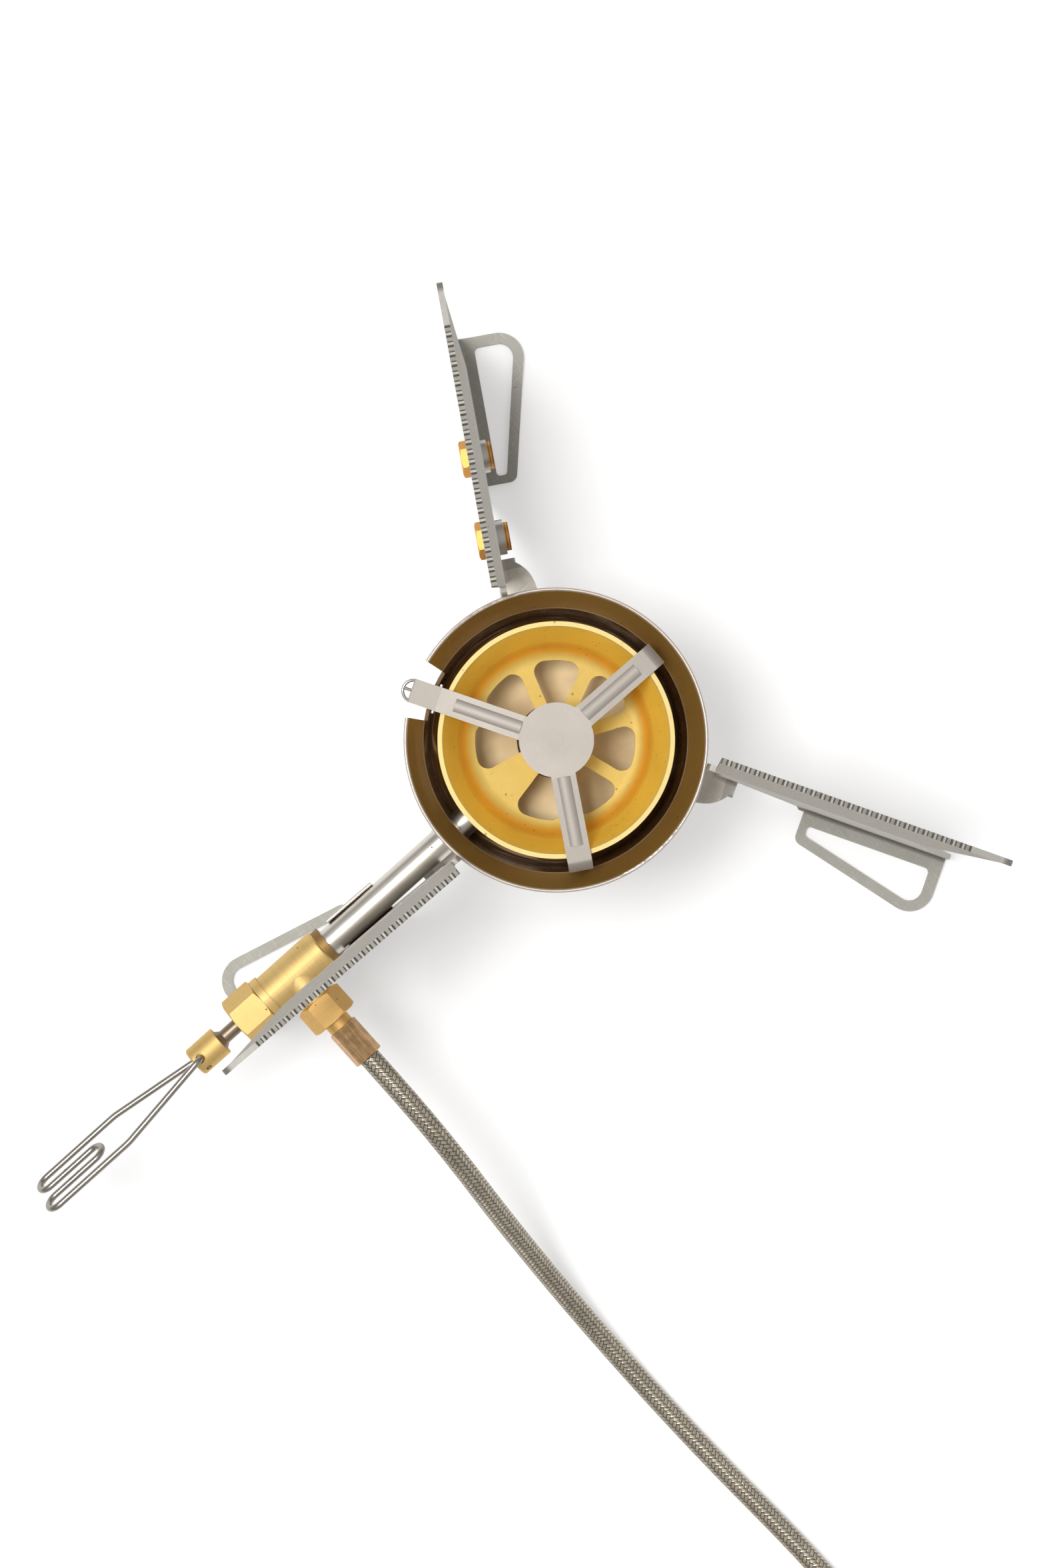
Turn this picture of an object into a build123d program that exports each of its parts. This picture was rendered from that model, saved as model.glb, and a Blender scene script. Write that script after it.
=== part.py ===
"""Multi-fuel camping stove: wind bowl and brass burner on three fold-out legs, with valve, hose and bail.

Millimetres, +Z up. The fuel tube runs along -Y, the hose leaves along +X, and the feet stand on z = 0.
"""

import os
from math import cos, pi, radians, sin, sqrt

from build123d import *

os.makedirs("parts", exist_ok=True)

# Where the burner's axis stands in the part's own frame
BURNER_X = 1.46
BURNER_Y = 48.6

# Pressed leg sheet: heights, and distances outward from the burner axis
SHEET = 1.3
BEND = 2.0
POT_Z = 88.0
BAR_IN = 34.7
BAR_OUT = 101.0
BAR_DEPTH = 12.0
BAR_TIP_DEPTH = 4.0
BAR_CORNER = 2.3
PLATE_IN = 37.0
PLATE_OUT = 80.0
NUB_IN = 32.8
NUB_Z = 68.2
STRIP_OFFSET = 7.5
PLATE_OFFSET = 5.55
JOGGLE_Z = 77.0
JOGGLE_RISE = 6.0
FOOT_IN = 61.5
FOOT_OUT = 96.5
FOOT_WIDTH = 11.4
FOOT_TIP = 3.0
FOOT_BAR = 2.6
FOOT_OPEN_IN = 63.4
FOOT_RISE = 10.0
FOOT_CORNER = 5.8
FOOT_OPEN_SIDE = 1.35
FOOT_SLANT = 0.6
TOOTH_PITCH = 2.13
TOOTH_COUNT = 27
TOOTH_TOP = 0.5
TOOTH_DEPTH = 1.2
LEG_1_ANGLE = 148.4
LEG_2_ANGLE = 28.6
LEG_3_ANGLE = 268.8

# Opening in the fixed leg's plate for the valve and its inlet
VALVE_GAP_IN = 66.0
VALVE_GAP_OUT = 88.0
VALVE_GAP_LOW = 38.0
VALVE_GAP_FALL = 10.0
VALVE_GAP_TOP = 70.0

# Hub under the bowl, where the legs meet
HUB_R = 9.5
RIVET_R = 6.0
RIVET_BORE = 4.6
RIVET_HEAD = 0.8
TAB_GAP = 0.3
TAB_NOSE = 42.4
TAB_LOW = 2.3
TAB_BULGE = 1.4

# Wind bowl
BOWL_SHEET = 0.8
BOWL_FLOOR = 38.6
BOWL_FLOOR_R = 28.8
BOWL_NECK_R = 30.0
BOWL_NECK_Z = 58.0
BOWL_RIM_R = 33.5
BOWL_RIM_Z = 66.0
NOTCH_FROM = 196.8
NOTCH_TO = 219.5
NOTCH_Z = 50.0

# Burner cup
CUP_RIM_R = 26.0
CUP_RIM_Z = 68.0
CUP_WALL = 1.0
CUP_FLOOR_R = 20.5
CUP_FLOOR_Z = 55.0
CUP_FLOOR = 1.2
CUP_CURVE = 4.5
WINDOW_IN = 8.0
WINDOW_OUT = 17.8
WINDOW_STEP = 48.0
SPOKE = 2.9
MIXER_R = 7.2
MIXER_BORE = 5.2
MIXER_Z = 62.0
POST_R = 1.6
POST_AT = 19.2

# Flame spreader and its clip
SPREADER_SHEET = 0.6
SPREADER_R = 8.2
SPREADER_Z = 70.4
ARM_WIDTH = 5.4
ARM_ANGLES = (89.1, 329.1)
TONGUE_ANGLE = 209.1
HOOK_R = 28.9
TONGUE_R = 33.3
BEAD_WIDTH = 3.0
BEAD_RISE = 0.55
CLIP_WIRE = 0.7
CLIP_EYE = 5.3
CLIP_BAR = 6.6

# Priming pad, jet and fuel tube
PAD_R = 22.0
PAD_HOLE = 8.4
PAD_THICK = 2.6
BLOCK_AF = 12.0
BLOCK_TOP = 50.0
JET_R = 2.6
JET_TOP = 53.2
TUBE_Z = 46.5
TUBE_R = 3.2
TUBE_BORE = 1.9
SADDLE_SHEET = 0.8
SADDLE_IN = 52.0
SADDLE_OUT = 65.0

# Valve line, distances from the burner axis along the tube
NECK_AT = 67.9
BODY_AT = 69.6
BODY_R = 4.9
RING_AT = 85.4
NUT_AT = 87.2
NUT_LENGTH = 7.9
NUT_AF = 10.6
SPINDLE_R = 1.65
SPINDLE_IN = 76.0
COLLAR_AT = 100.5
COLLAR_LENGTH = 7.6
COLLAR_R = 3.5
SOCKET = 6.9
BAIL_SET = 5.7
BAIL_HOLE = 1.1
BAIL_STUB = 2.3
PIN_R = 0.7
PIN_TILT = 54.0

# Fuel inlet, distances from the tube's axis along +X
INLET_AT = 78.2
INLET_BOSS = 4.3
INLET_NUT_IN = 7.5
INLET_NUT_OUT = 13.9
INLET_AF = 9.8
FERRULE_IN = 15.9
FERRULE_OUT = 25.0
FERRULE_AF = 6.5
FERRULE_SIDES = 8

# Control bail, a bent wire
BAIL_WIRE = 1.5
BAIL_LENGTH = 47.8
BAIL_HALF = 7.6
BAIL_SHOULDER = 5.2
BAIL_TWIST = 25.0
BAIL_SPREAD_AT = 24.0
LOOP_HALF = 2.5
LOOP_RETURN = 18.5

# Spare jets screwed into the first leg: distance out and height of each
JET_PLACES = {"upper": (46.7, 50.0), "lower": (67.3, 20.0)}
SPARE_AF = 7.4
SPARE_HEAD = 3.0
SPARE_THREAD_R = 3.2
SPARE_REACH = 1.8
BOSS_R = 3.95
BOSS_THICK = 2.0

# Hose: its free route is measured from its exit, and the rest lies in a coil
HOSE_D = 5.0
HOSE_ROUTE = [
    (0, 0, 0),
    (14, 0, 0),
    (30, -0.9, -3.6),
    (46, -2.9, -15.0),
    (63, -4.7, -29.5),
    (79, -5.9, -39.9),
    (99, -6.4, -43.9),
    (125, -6.0, -44.0),
    (151, -4.7, -43.9),
    (168, -4.5, -43.4),
    (183, -4.5, -43.4),
]
COIL_R = 27.5
COIL_RISE = 5.5
COIL_HALF_TURNS = 3
CLIMB_SHORT = 22.0
COIL_TAIL = 14.5
TIE_SHEET = 0.45
TIE_WIDTH = 4.0
FIT = 0.15

# Pump end of the hose
PUMP_FERRULE = 9.0
PUMP_AF = 16.0
PUMP_NUT = 7.0
PUMP_THREAD_R = 5.0
PUMP_THREAD = 10.0
PUMP_TIP_R = 3.6
PUMP_TIP = 7.0
SEAL_WIRE = 1.4

pieces = []


def keep(name, built):
    """Labels one finished piece and writes it."""
    built.part.label = name
    export_step(built.part, f"parts/{name}.step")
    pieces.append(name)


def burner(z):
    """A point on the burner's axis."""
    return Vector(BURNER_X, BURNER_Y, z)


def outward(angle):
    return Vector(cos(radians(angle)), sin(radians(angle)), 0)


def plan(z, angle=0.0):
    """Level plane at a height, its x outward at the angle."""
    return Plane(origin=burner(z), x_dir=outward(angle), z_dir=(0, 0, 1))


def side(angle):
    """Upright plane through the axis: x outward, y up. Its normal points clockwise, seen from above."""
    return Plane(origin=burner(0), x_dir=outward(angle), z_dir=outward(angle - 90))


def across(angle, distance, z=0.0):
    """Upright plane square to a direction: x counterclockwise, y up, its normal outward."""
    return Plane(origin=burner(z) + outward(angle) * distance, x_dir=outward(angle + 90), z_dir=outward(angle))


# The valve line and the inlet line, each with its own planes and axis
VALVE_SIDE = Plane(origin=burner(TUBE_Z), x_dir=(0, -1, 0), z_dir=(-1, 0, 0))
VALVE_AXIS = Axis(burner(TUBE_Z), (0, -1, 0))
INLET_CENTRE = burner(TUBE_Z) + Vector(0, -INLET_AT, 0)
INLET_SIDE = Plane(origin=INLET_CENTRE, x_dir=(1, 0, 0), z_dir=(0, -1, 0))
INLET_AXIS = Axis(INLET_CENTRE, (1, 0, 0))


def faceted(plane, across_flats, length, sides=6):
    """A bar with flat sides and its corners turned off at both ends, a hexagon unless told otherwise."""
    corner = across_flats / 2 / cos(radians(180 / sides))
    flat = across_flats * 0.49
    ease = (corner - flat) * 0.5
    outline = [(0, 0), (flat, 0), (corner, ease), (corner, length - ease), (flat, length), (0, length)]
    with BuildPart() as bar:
        with BuildSketch(plane):
            RegularPolygon(across_flats / 2, sides, major_radius=False)
        extrude(amount=length)
        with BuildSketch(Plane(origin=plane.origin, x_dir=plane.x_dir, z_dir=plane.x_dir.cross(plane.z_dir))):
            Polygon(*outline, align=None)
        revolve(axis=Axis(plane.origin, plane.z_dir), mode=Mode.INTERSECT)
    return bar.part


def turned(points, plane, axis):
    """A turned piece, from an outline of distances along a line and radii about it."""
    with BuildPart() as lathe:
        with BuildSketch(plane):
            Polygon(*points, align=None)
        revolve(axis=axis)
    return lathe.part


# Legs: one bent sheet each, cut by its side view and its plan
FOLD = PLATE_OFFSET - SHEET / 2 - BEND / 2
JOGGLE_TOP = JOGGLE_Z + JOGGLE_RISE
BAR_LOW = POT_Z - BAR_DEPTH
SERRATED = TOOTH_PITCH * TOOTH_COUNT
VALVE_GAP = [
    (PLATE_OUT - BEND, VALVE_GAP_TOP, BEND),
    (VALVE_GAP_IN, VALVE_GAP_TOP, BEND),
    (VALVE_GAP_IN, VALVE_GAP_LOW, BEND),
    (VALVE_GAP_OUT, VALVE_GAP_LOW - VALVE_GAP_FALL, 2 * BEND),
]


def leg(angle, tab_top, gap=(), holes=()):
    """Leg: serrated bar on top, joggle, side plate, foot turned in at the floor and a tab at the hub.

    Its outline, seen from the side, lists distance out, height and corner radius. A gap is more such corners.
    """
    tab_mid = tab_top - SHEET / 2
    corners = [
        (BAR_IN, POT_Z, 0),
        (BAR_OUT, POT_Z, BAR_CORNER),
        (BAR_OUT, POT_Z - BAR_TIP_DEPTH, BAR_CORNER / 2),
        (PLATE_OUT, BAR_LOW, BEND),
        *gap,
        (FOOT_OUT, FOOT_RISE, 2 * BEND),
        (FOOT_OUT, 0, 0),
        (FOOT_IN, 0, 0),
        (FOOT_IN - BEND, BEND, BEND),
        (TAB_NOSE + 1, tab_mid, 0),
        (TAB_NOSE, tab_mid + BEND, 0),
        (PLATE_IN, tab_mid + BEND, 0),
        (PLATE_IN, NUB_Z, BEND),
        (NUB_IN, NUB_Z, BEND),
        (NUB_IN, BAR_LOW, BEND / 2),
        (BAR_IN, BAR_LOW, 0),
    ]
    with BuildPart() as made:
        with BuildSketch(across(angle, NUB_IN)):
            with BuildLine():
                FilletPolyline(
                    (STRIP_OFFSET, POT_Z),
                    (STRIP_OFFSET, JOGGLE_TOP),
                    (PLATE_OFFSET, JOGGLE_Z),
                    (PLATE_OFFSET, SHEET / 2),
                    (-FOOT_WIDTH - SHEET, SHEET / 2),
                    radius=BEND,
                )
                offset(amount=SHEET / 2, side=Side.BOTH)
            make_face()
        extrude(amount=BAR_OUT - NUB_IN)
        with BuildSketch(side(angle)):
            with BuildLine():
                FilletPolyline(
                    *[(out, up) for out, up, _ in corners],
                    radius=[radius for _, _, radius in corners],
                    close=True,
                )
            make_face()
        extrude(amount=STRIP_OFFSET + FOOT_WIDTH + SHEET, both=True, mode=Mode.INTERSECT)
        with BuildSketch(plan(0, angle)) as footprint:
            with BuildLine():
                Polyline(
                    (NUB_IN, PLATE_OFFSET - SHEET),
                    (FOOT_IN, PLATE_OFFSET - SHEET),
                    (FOOT_IN, -FOOT_TIP),
                    (FOOT_OUT, -FOOT_WIDTH),
                    (FOOT_OUT, PLATE_OFFSET - SHEET),
                    (BAR_OUT, PLATE_OFFSET - SHEET),
                    (BAR_OUT, STRIP_OFFSET + SHEET),
                    (NUB_IN, STRIP_OFFSET + SHEET),
                    close=True,
                )
            make_face()
            fillet(footprint.vertices().sort_by_distance((FOOT_OUT, -FOOT_WIDTH, 0))[0], FOOT_CORNER)
            fillet(footprint.vertices().sort_by_distance((FOOT_IN, -FOOT_TIP, 0))[0], BEND)
        extrude(amount=POT_Z, mode=Mode.INTERSECT)
        with BuildSketch(plan(0, angle)):
            with BuildLine():
                FilletPolyline(
                    (FOOT_OPEN_IN, FOOT_OPEN_SIDE),
                    (FOOT_OPEN_IN, FOOT_BAR - FOOT_TIP - FOOT_SLANT),
                    (FOOT_OUT - FOOT_BAR, FOOT_BAR - FOOT_WIDTH + FOOT_SLANT),
                    (FOOT_OUT - FOOT_BAR, FOOT_OPEN_SIDE),
                    radius=[0.9, 0.9, FOOT_CORNER - FOOT_BAR, 1.2],
                    close=True,
                )
            make_face()
        extrude(amount=SHEET, mode=Mode.SUBTRACT)
        with BuildSketch(across(angle, PLATE_IN)):
            with BuildLine():
                FilletPolyline(
                    (PLATE_OFFSET, tab_mid + 2 * BEND),
                    (PLATE_OFFSET, tab_mid),
                    (FOLD - BEND, tab_mid),
                    radius=BEND,
                )
                offset(amount=SHEET / 2, side=Side.BOTH)
            make_face()
        extrude(amount=TAB_NOSE - PLATE_IN)
        with BuildSketch(plan(tab_top - SHEET, angle)):
            with BuildLine():
                rim = CenterArc((0, 0), HUB_R, 70, 220)
                low_edge = Line(rim @ 1, (PLATE_IN - SHEET, -TAB_LOW))
                SagittaArc(low_edge @ 1, (TAB_NOSE, FOLD), -TAB_BULGE)
                Polyline((TAB_NOSE, FOLD), (PLATE_IN, FOLD), (PLATE_IN, FOLD + BEND), rim @ 0)
            make_face()
            Circle(RIVET_R + TAB_GAP, mode=Mode.SUBTRACT)
        extrude(amount=SHEET)
        with BuildSketch(side(angle)):
            with Locations((BAR_IN + SERRATED / 2 - TOOTH_TOP, POT_Z)):
                with GridLocations(TOOTH_PITCH, 0, TOOTH_COUNT, 1):
                    gap = (TOOTH_PITCH - TOOTH_TOP) / 2
                    Polygon(
                        (-gap, TOOTH_TOP),
                        (-gap, 0),
                        (-gap / 2, -TOOTH_DEPTH),
                        (gap / 2, -TOOTH_DEPTH),
                        (gap, 0),
                        (gap, TOOTH_TOP),
                        align=None,
                    )
        extrude(amount=-STRIP_OFFSET - SHEET, mode=Mode.SUBTRACT)
        for place in holes:
            with BuildSketch(side(angle)):
                with Locations(place):
                    Circle(SPARE_THREAD_R + FIT)
            extrude(amount=-STRIP_OFFSET - SHEET, mode=Mode.SUBTRACT)
    return made


TAB_3 = BOWL_FLOOR
TAB_2 = TAB_3 - SHEET - TAB_GAP
TAB_1 = TAB_2 - SHEET - TAB_GAP
keep("fixed_leg", leg(LEG_3_ANGLE, TAB_3, gap=VALVE_GAP))
keep("swing_leg_2", leg(LEG_2_ANGLE, TAB_2))
keep("swing_leg_1", leg(LEG_1_ANGLE, TAB_1, holes=JET_PLACES.values()))


# Hub rivet through the three tabs and the bowl's floor, and its washer
LAYER = SHEET + TAB_GAP
RIVET_LOW = TAB_1 - LAYER - RIVET_HEAD - TAB_GAP - RIVET_HEAD
BOWL_TOP = BOWL_FLOOR + BOWL_SHEET
RIVET_TOP = BOWL_TOP + RIVET_HEAD

with BuildPart() as hub_rivet:
    with BuildSketch(side(0)):
        Polygon(
            (RIVET_BORE, RIVET_LOW),
            (HUB_R - 1, RIVET_LOW),
            (HUB_R - 1, RIVET_LOW + RIVET_HEAD),
            (RIVET_R, RIVET_LOW + RIVET_HEAD),
            (RIVET_R, BOWL_TOP),
            (RIVET_R + 1.5, BOWL_TOP),
            (RIVET_R + 1.5, RIVET_TOP),
            (RIVET_BORE, RIVET_TOP),
            align=None,
        )
    revolve(axis=Axis(burner(0), (0, 0, 1)))
keep("hub_rivet", hub_rivet)

with BuildPart() as hub_washer:
    with BuildSketch(plan(RIVET_LOW + RIVET_HEAD + TAB_GAP)):
        Circle(HUB_R)
        Circle(RIVET_R + FIT, mode=Mode.SUBTRACT)
    extrude(amount=RIVET_HEAD)
keep("hub_washer", hub_washer)

# Wind bowl: drawn sheet with a flared rim, a hole for the tube and a notch for the spreader's tongue
BOWL_MID = BOWL_FLOOR + BOWL_SHEET / 2
with BuildPart() as wind_bowl:
    with BuildSketch(side(0)):
        with BuildLine():
            FilletPolyline(
                (RIVET_R + BOWL_SHEET, BOWL_MID),
                (BOWL_FLOOR_R - BOWL_SHEET / 2, BOWL_MID),
                (BOWL_NECK_R - BOWL_SHEET / 2, BOWL_NECK_Z),
                (BOWL_RIM_R - BOWL_SHEET / 2, BOWL_RIM_Z),
                radius=[2.5, 1.2],
            )
            offset(amount=BOWL_SHEET / 2, side=Side.BOTH)
        make_face()
    revolve(axis=Axis(burner(0), (0, 0, 1)))
    with BuildSketch(across(-90, 0, TUBE_Z)):
        Circle(TUBE_R + 2 * FIT)
    extrude(amount=BOWL_RIM_R, mode=Mode.SUBTRACT)
    with BuildSketch(plan(NOTCH_Z, (NOTCH_FROM + NOTCH_TO) / 2)):
        reach = BOWL_RIM_R + 2
        spread = (NOTCH_TO - NOTCH_FROM) / 2
        edge = (reach * cos(radians(spread)), reach * sin(radians(spread)))
        Polygon((0, 0), (edge[0], -edge[1]), (edge[0], edge[1]), align=None)
        Circle(BOWL_FLOOR_R - 3, mode=Mode.SUBTRACT)
    extrude(amount=BOWL_RIM_Z, mode=Mode.SUBTRACT)
keep("wind_bowl", wind_bowl)

# Priming pad on the bowl's floor
POST_ANGLES = (*ARM_ANGLES, TONGUE_ANGLE)
with BuildPart() as priming_pad:
    with BuildSketch(plan(BOWL_TOP)):
        Circle(PAD_R)
        Circle(PAD_HOLE, mode=Mode.SUBTRACT)
        for angle in POST_ANGLES:
            with PolarLocations(POST_AT, 1, start_angle=angle):
                Circle(POST_R + 2 * FIT, mode=Mode.SUBTRACT)
    extrude(amount=PAD_THICK)
keep("priming_pad", priming_pad)

# Posts that carry the burner cup
CUP_UNDER = CUP_FLOOR_Z - CUP_FLOOR
with BuildPart() as cup_posts:
    with BuildSketch(plan(BOWL_TOP)):
        for angle in POST_ANGLES:
            with PolarLocations(POST_AT, 1, start_angle=angle):
                Circle(POST_R)
    extrude(amount=CUP_UNDER - BOWL_TOP)
keep("cup_posts", cup_posts)

# Burner cup: turned brass wall, a floor with seven windows and the mixing tube in its middle
with BuildPart() as burner_cup:
    with BuildSketch(side(0)) as wall:
        Polygon(
            (MIXER_BORE, CUP_UNDER),
            (CUP_FLOOR_R + CUP_WALL, CUP_UNDER),
            (CUP_FLOOR_R + 2 * CUP_WALL, CUP_FLOOR_Z),
            (CUP_RIM_R, CUP_RIM_Z),
            (CUP_RIM_R - CUP_WALL, CUP_RIM_Z),
            (CUP_FLOOR_R, CUP_FLOOR_Z),
            (MIXER_R, CUP_FLOOR_Z),
            (MIXER_R, MIXER_Z),
            (MIXER_BORE, MIXER_Z),
            align=None,
        )
        fillet(wall.vertices().sort_by_distance((CUP_FLOOR_R, CUP_FLOOR_Z, 0))[0], CUP_CURVE)
    revolve(axis=Axis(burner(0), (0, 0, 1)))
    with BuildSketch(plan(CUP_UNDER, ARM_ANGLES[0])) as windows:
        Circle(WINDOW_OUT)
        Circle(WINDOW_IN, mode=Mode.SUBTRACT)
        for turn in range(4):
            for way in (1, -1):
                with PolarLocations(CUP_FLOOR_R / 2, 1, start_angle=way * (turn + 0.5) * WINDOW_STEP):
                    Rectangle(CUP_FLOOR_R, SPOKE, mode=Mode.SUBTRACT)
        with PolarLocations(0, 1, start_angle=180):
            Polygon((0, 0), (CUP_FLOOR_R, CUP_FLOOR_R * 0.28), (CUP_FLOOR_R, -CUP_FLOOR_R * 0.28), align=None,
                    mode=Mode.SUBTRACT)
        outer = [v for v in windows.vertices() if Vector(v).length > WINDOW_OUT - 0.5]
        inner = [v for v in windows.vertices() if Vector(v).length < WINDOW_OUT - 0.5]
        fillet(outer, 2.4)
        fillet(inner, 0.6)
    extrude(amount=CUP_FLOOR + CUP_WALL, mode=Mode.SUBTRACT)
keep("burner_cup", burner_cup)

# Flame spreader: pressed disc with two arms hooked over the rim and a third that runs on as a tongue
ARM_SLOPE_IN = (SPREADER_R, SPREADER_Z)
ARM_SLOPE_OUT = (CUP_RIM_R - 2, CUP_RIM_Z + 0.9)
ARM_SHOULDER = (CUP_RIM_R + 1.2, CUP_RIM_Z + 0.5)
HOOK_END = (HOOK_R, CUP_RIM_Z - 2.2)
TONGUE_END = (TONGUE_R, CUP_RIM_Z - 1.3)
BEAD_FALL = Vector(ARM_SLOPE_OUT[0] - ARM_SLOPE_IN[0], 0, ARM_SLOPE_OUT[1] - ARM_SLOPE_IN[1])


def arm(angle, end):
    """One arm of the spreader with its raised bead."""
    fall = outward(angle) * BEAD_FALL.X + Vector(0, 0, BEAD_FALL.Z)
    start = burner(ARM_SLOPE_IN[1] + SPREADER_SHEET * 0.45) + outward(angle) * ARM_SLOPE_IN[0]
    with BuildPart() as strip:
        with BuildSketch(side(angle)):
            with BuildLine():
                FilletPolyline((0, SPREADER_Z), ARM_SLOPE_IN, ARM_SLOPE_OUT, ARM_SHOULDER, end, radius=0.7)
                offset(amount=SPREADER_SHEET / 2, side=Side.BOTH)
            make_face()
        extrude(amount=ARM_WIDTH / 2, both=True)
        with BuildSketch(Plane(origin=start, x_dir=outward(angle + 90), z_dir=fall)):
            with BuildLine():
                ThreePointArc((-BEAD_WIDTH / 2, 0), (0, BEAD_RISE), (BEAD_WIDTH / 2, 0))
                Line((BEAD_WIDTH / 2, 0), (-BEAD_WIDTH / 2, 0))
            make_face()
        extrude(amount=BEAD_FALL.length - 0.5)
    return strip.part


with BuildPart() as flame_spreader:
    with BuildSketch(plan(SPREADER_Z - SPREADER_SHEET / 2)):
        Circle(SPREADER_R)
    extrude(amount=SPREADER_SHEET)
    for angle in ARM_ANGLES:
        add(arm(angle, HOOK_END))
    add(arm(TONGUE_ANGLE, TONGUE_END))
keep("flame_spreader", flame_spreader)

# Clip under the tongue: a wire eye past its end, a stem and a crossbar outside the cup's rim
TONGUE_RUN = Vector(TONGUE_END[0] - ARM_SHOULDER[0], 0, TONGUE_END[1] - ARM_SHOULDER[1])
TONGUE_WAY = outward(TONGUE_ANGLE) * TONGUE_RUN.X + Vector(0, 0, TONGUE_RUN.Z)
CLIP_DROP = SPREADER_SHEET / 2 + CLIP_WIRE / 2 + FIT
CLIP_START = burner(ARM_SHOULDER[1] - CLIP_DROP) + outward(TONGUE_ANGLE) * (ARM_SHOULDER[0] + 0.4)
CLIP_PLANE = Plane(origin=CLIP_START, x_dir=TONGUE_WAY, z_dir=TONGUE_WAY.cross(outward(TONGUE_ANGLE - 90)) * -1)
EYE_R = (CLIP_EYE - CLIP_WIRE) / 2
EYE_AT = TONGUE_R - ARM_SHOULDER[0] - 0.2
with BuildPart() as spreader_clip:
    with Locations(CLIP_PLANE.location * Location((EYE_AT, 0, 0))):
        Torus(EYE_R, CLIP_WIRE / 2)
    with Locations(CLIP_PLANE.location * Location((0, 0, 0), (0, 90, 0))):
        Cylinder(CLIP_WIRE / 2, EYE_AT + EYE_R, align=(Align.CENTER, Align.CENTER, Align.MIN))
    with Locations(CLIP_PLANE.location * Location((0, 0, 0), (90, 0, 0))):
        Cylinder(CLIP_WIRE / 2, CLIP_BAR)
keep("spreader_clip", spreader_clip)

# Jet block on the hub, and the main jet that points up the mixing tube
with BuildPart() as jet_block:
    add(faceted(plan(RIVET_TOP), BLOCK_AF, BLOCK_TOP - RIVET_TOP))
keep("jet_block", jet_block)

with BuildPart() as main_jet:
    with BuildSketch(side(0)):
        Polygon(
            (0.25, BLOCK_TOP),
            (JET_R + 0.6, BLOCK_TOP),
            (JET_R + 0.6, BLOCK_TOP + 1.6),
            (JET_R, BLOCK_TOP + 2.2),
            (JET_R - 0.8, JET_TOP),
            (0.25, JET_TOP),
            align=None,
        )
    revolve(axis=Axis(burner(0), (0, 0, 1)))
keep("main_jet", main_jet)

# Fuel tube from the jet block to the valve
with BuildPart() as fuel_tube:
    with BuildSketch(across(-90, BLOCK_AF / 2, TUBE_Z)):
        Circle(TUBE_R)
        Circle(TUBE_BORE, mode=Mode.SUBTRACT)
    extrude(amount=NECK_AT - BLOCK_AF / 2)
keep("fuel_tube", fuel_tube)

# Saddle: a strip welded flat to the fixed leg's plate, bent under the tube and up its far side
STRAP_R = TUBE_R + FIT + SADDLE_SHEET / 2
STRAP_X = PLATE_OFFSET - SHEET / 2 - SADDLE_SHEET / 2
TUBE_X = (SADDLE_IN + SADDLE_OUT) / 2 * sin(radians(270 - LEG_3_ANGLE))
with BuildPart() as tube_saddle:
    with BuildSketch(across(LEG_3_ANGLE, SADDLE_IN, TUBE_Z)):
        with BuildLine():
            FilletPolyline(
                (STRAP_X, -3 * STRAP_R),
                (STRAP_X, -STRAP_R),
                (TUBE_X - STRAP_R, -STRAP_R),
                (TUBE_X - STRAP_R, STRAP_R / 4),
                radius=[2 * SADDLE_SHEET, STRAP_R],
            )
            offset(amount=SADDLE_SHEET / 2, side=Side.BOTH)
        make_face()
    extrude(amount=SADDLE_OUT - SADDLE_IN)
keep("tube_saddle", tube_saddle)

# Valve body with its inlet boss, bored for the spindle
NUT_SEAT = NUT_AT + 3.3
with BuildPart() as valve_body:
    add(turned(
        [
            (NECK_AT, 0),
            (NECK_AT, TUBE_R + 1.2),
            (BODY_AT, TUBE_R + 1.2),
            (BODY_AT, BODY_R - 0.4),
            (BODY_AT + 0.4, BODY_R),
            (RING_AT, BODY_R),
            (RING_AT, BODY_R + 0.5),
            (NUT_AT, BODY_R + 0.5),
            (NUT_AT, BODY_R - 1.1),
            (NUT_SEAT, BODY_R - 1.1),
            (NUT_SEAT, 0),
        ],
        VALVE_SIDE,
        VALVE_AXIS,
    ))
    add(turned(
        [
            (0, 0),
            (0, INLET_BOSS + 0.5),
            (BODY_R - 1.5, INLET_BOSS + 0.5),
            (BODY_R + 0.6, INLET_BOSS),
            (INLET_NUT_IN, INLET_BOSS),
            (INLET_NUT_IN, 0),
        ],
        INLET_SIDE,
        INLET_AXIS,
    ))
    with BuildSketch(across(-90, SPINDLE_IN - 1, TUBE_Z)):
        Circle(SPINDLE_R + 2 * FIT)
    extrude(amount=NUT_SEAT - SPINDLE_IN + 1, mode=Mode.SUBTRACT)
keep("valve_body", valve_body)

# Packing nut and the packing that it presses round the spindle
PACKING_END = NUT_AT + 5.8
with BuildPart() as packing_nut:
    add(faceted(across(-90, NUT_AT, TUBE_Z), NUT_AF, NUT_LENGTH))
    with BuildSketch(across(-90, NUT_AT, TUBE_Z)):
        Circle(BODY_R - 1.1)
    extrude(amount=PACKING_END - NUT_AT, mode=Mode.SUBTRACT)
    with BuildSketch(across(-90, NUT_AT, TUBE_Z)):
        Circle(SPINDLE_R + 2 * FIT)
    extrude(amount=NUT_LENGTH, mode=Mode.SUBTRACT)
keep("packing_nut", packing_nut)

with BuildPart() as gland_packing:
    with BuildSketch(across(-90, NUT_SEAT, TUBE_Z)):
        Circle(BODY_R - 1.1)
        Circle(SPINDLE_R + 2 * FIT, mode=Mode.SUBTRACT)
    extrude(amount=PACKING_END - NUT_SEAT)
keep("gland_packing", gland_packing)

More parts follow.
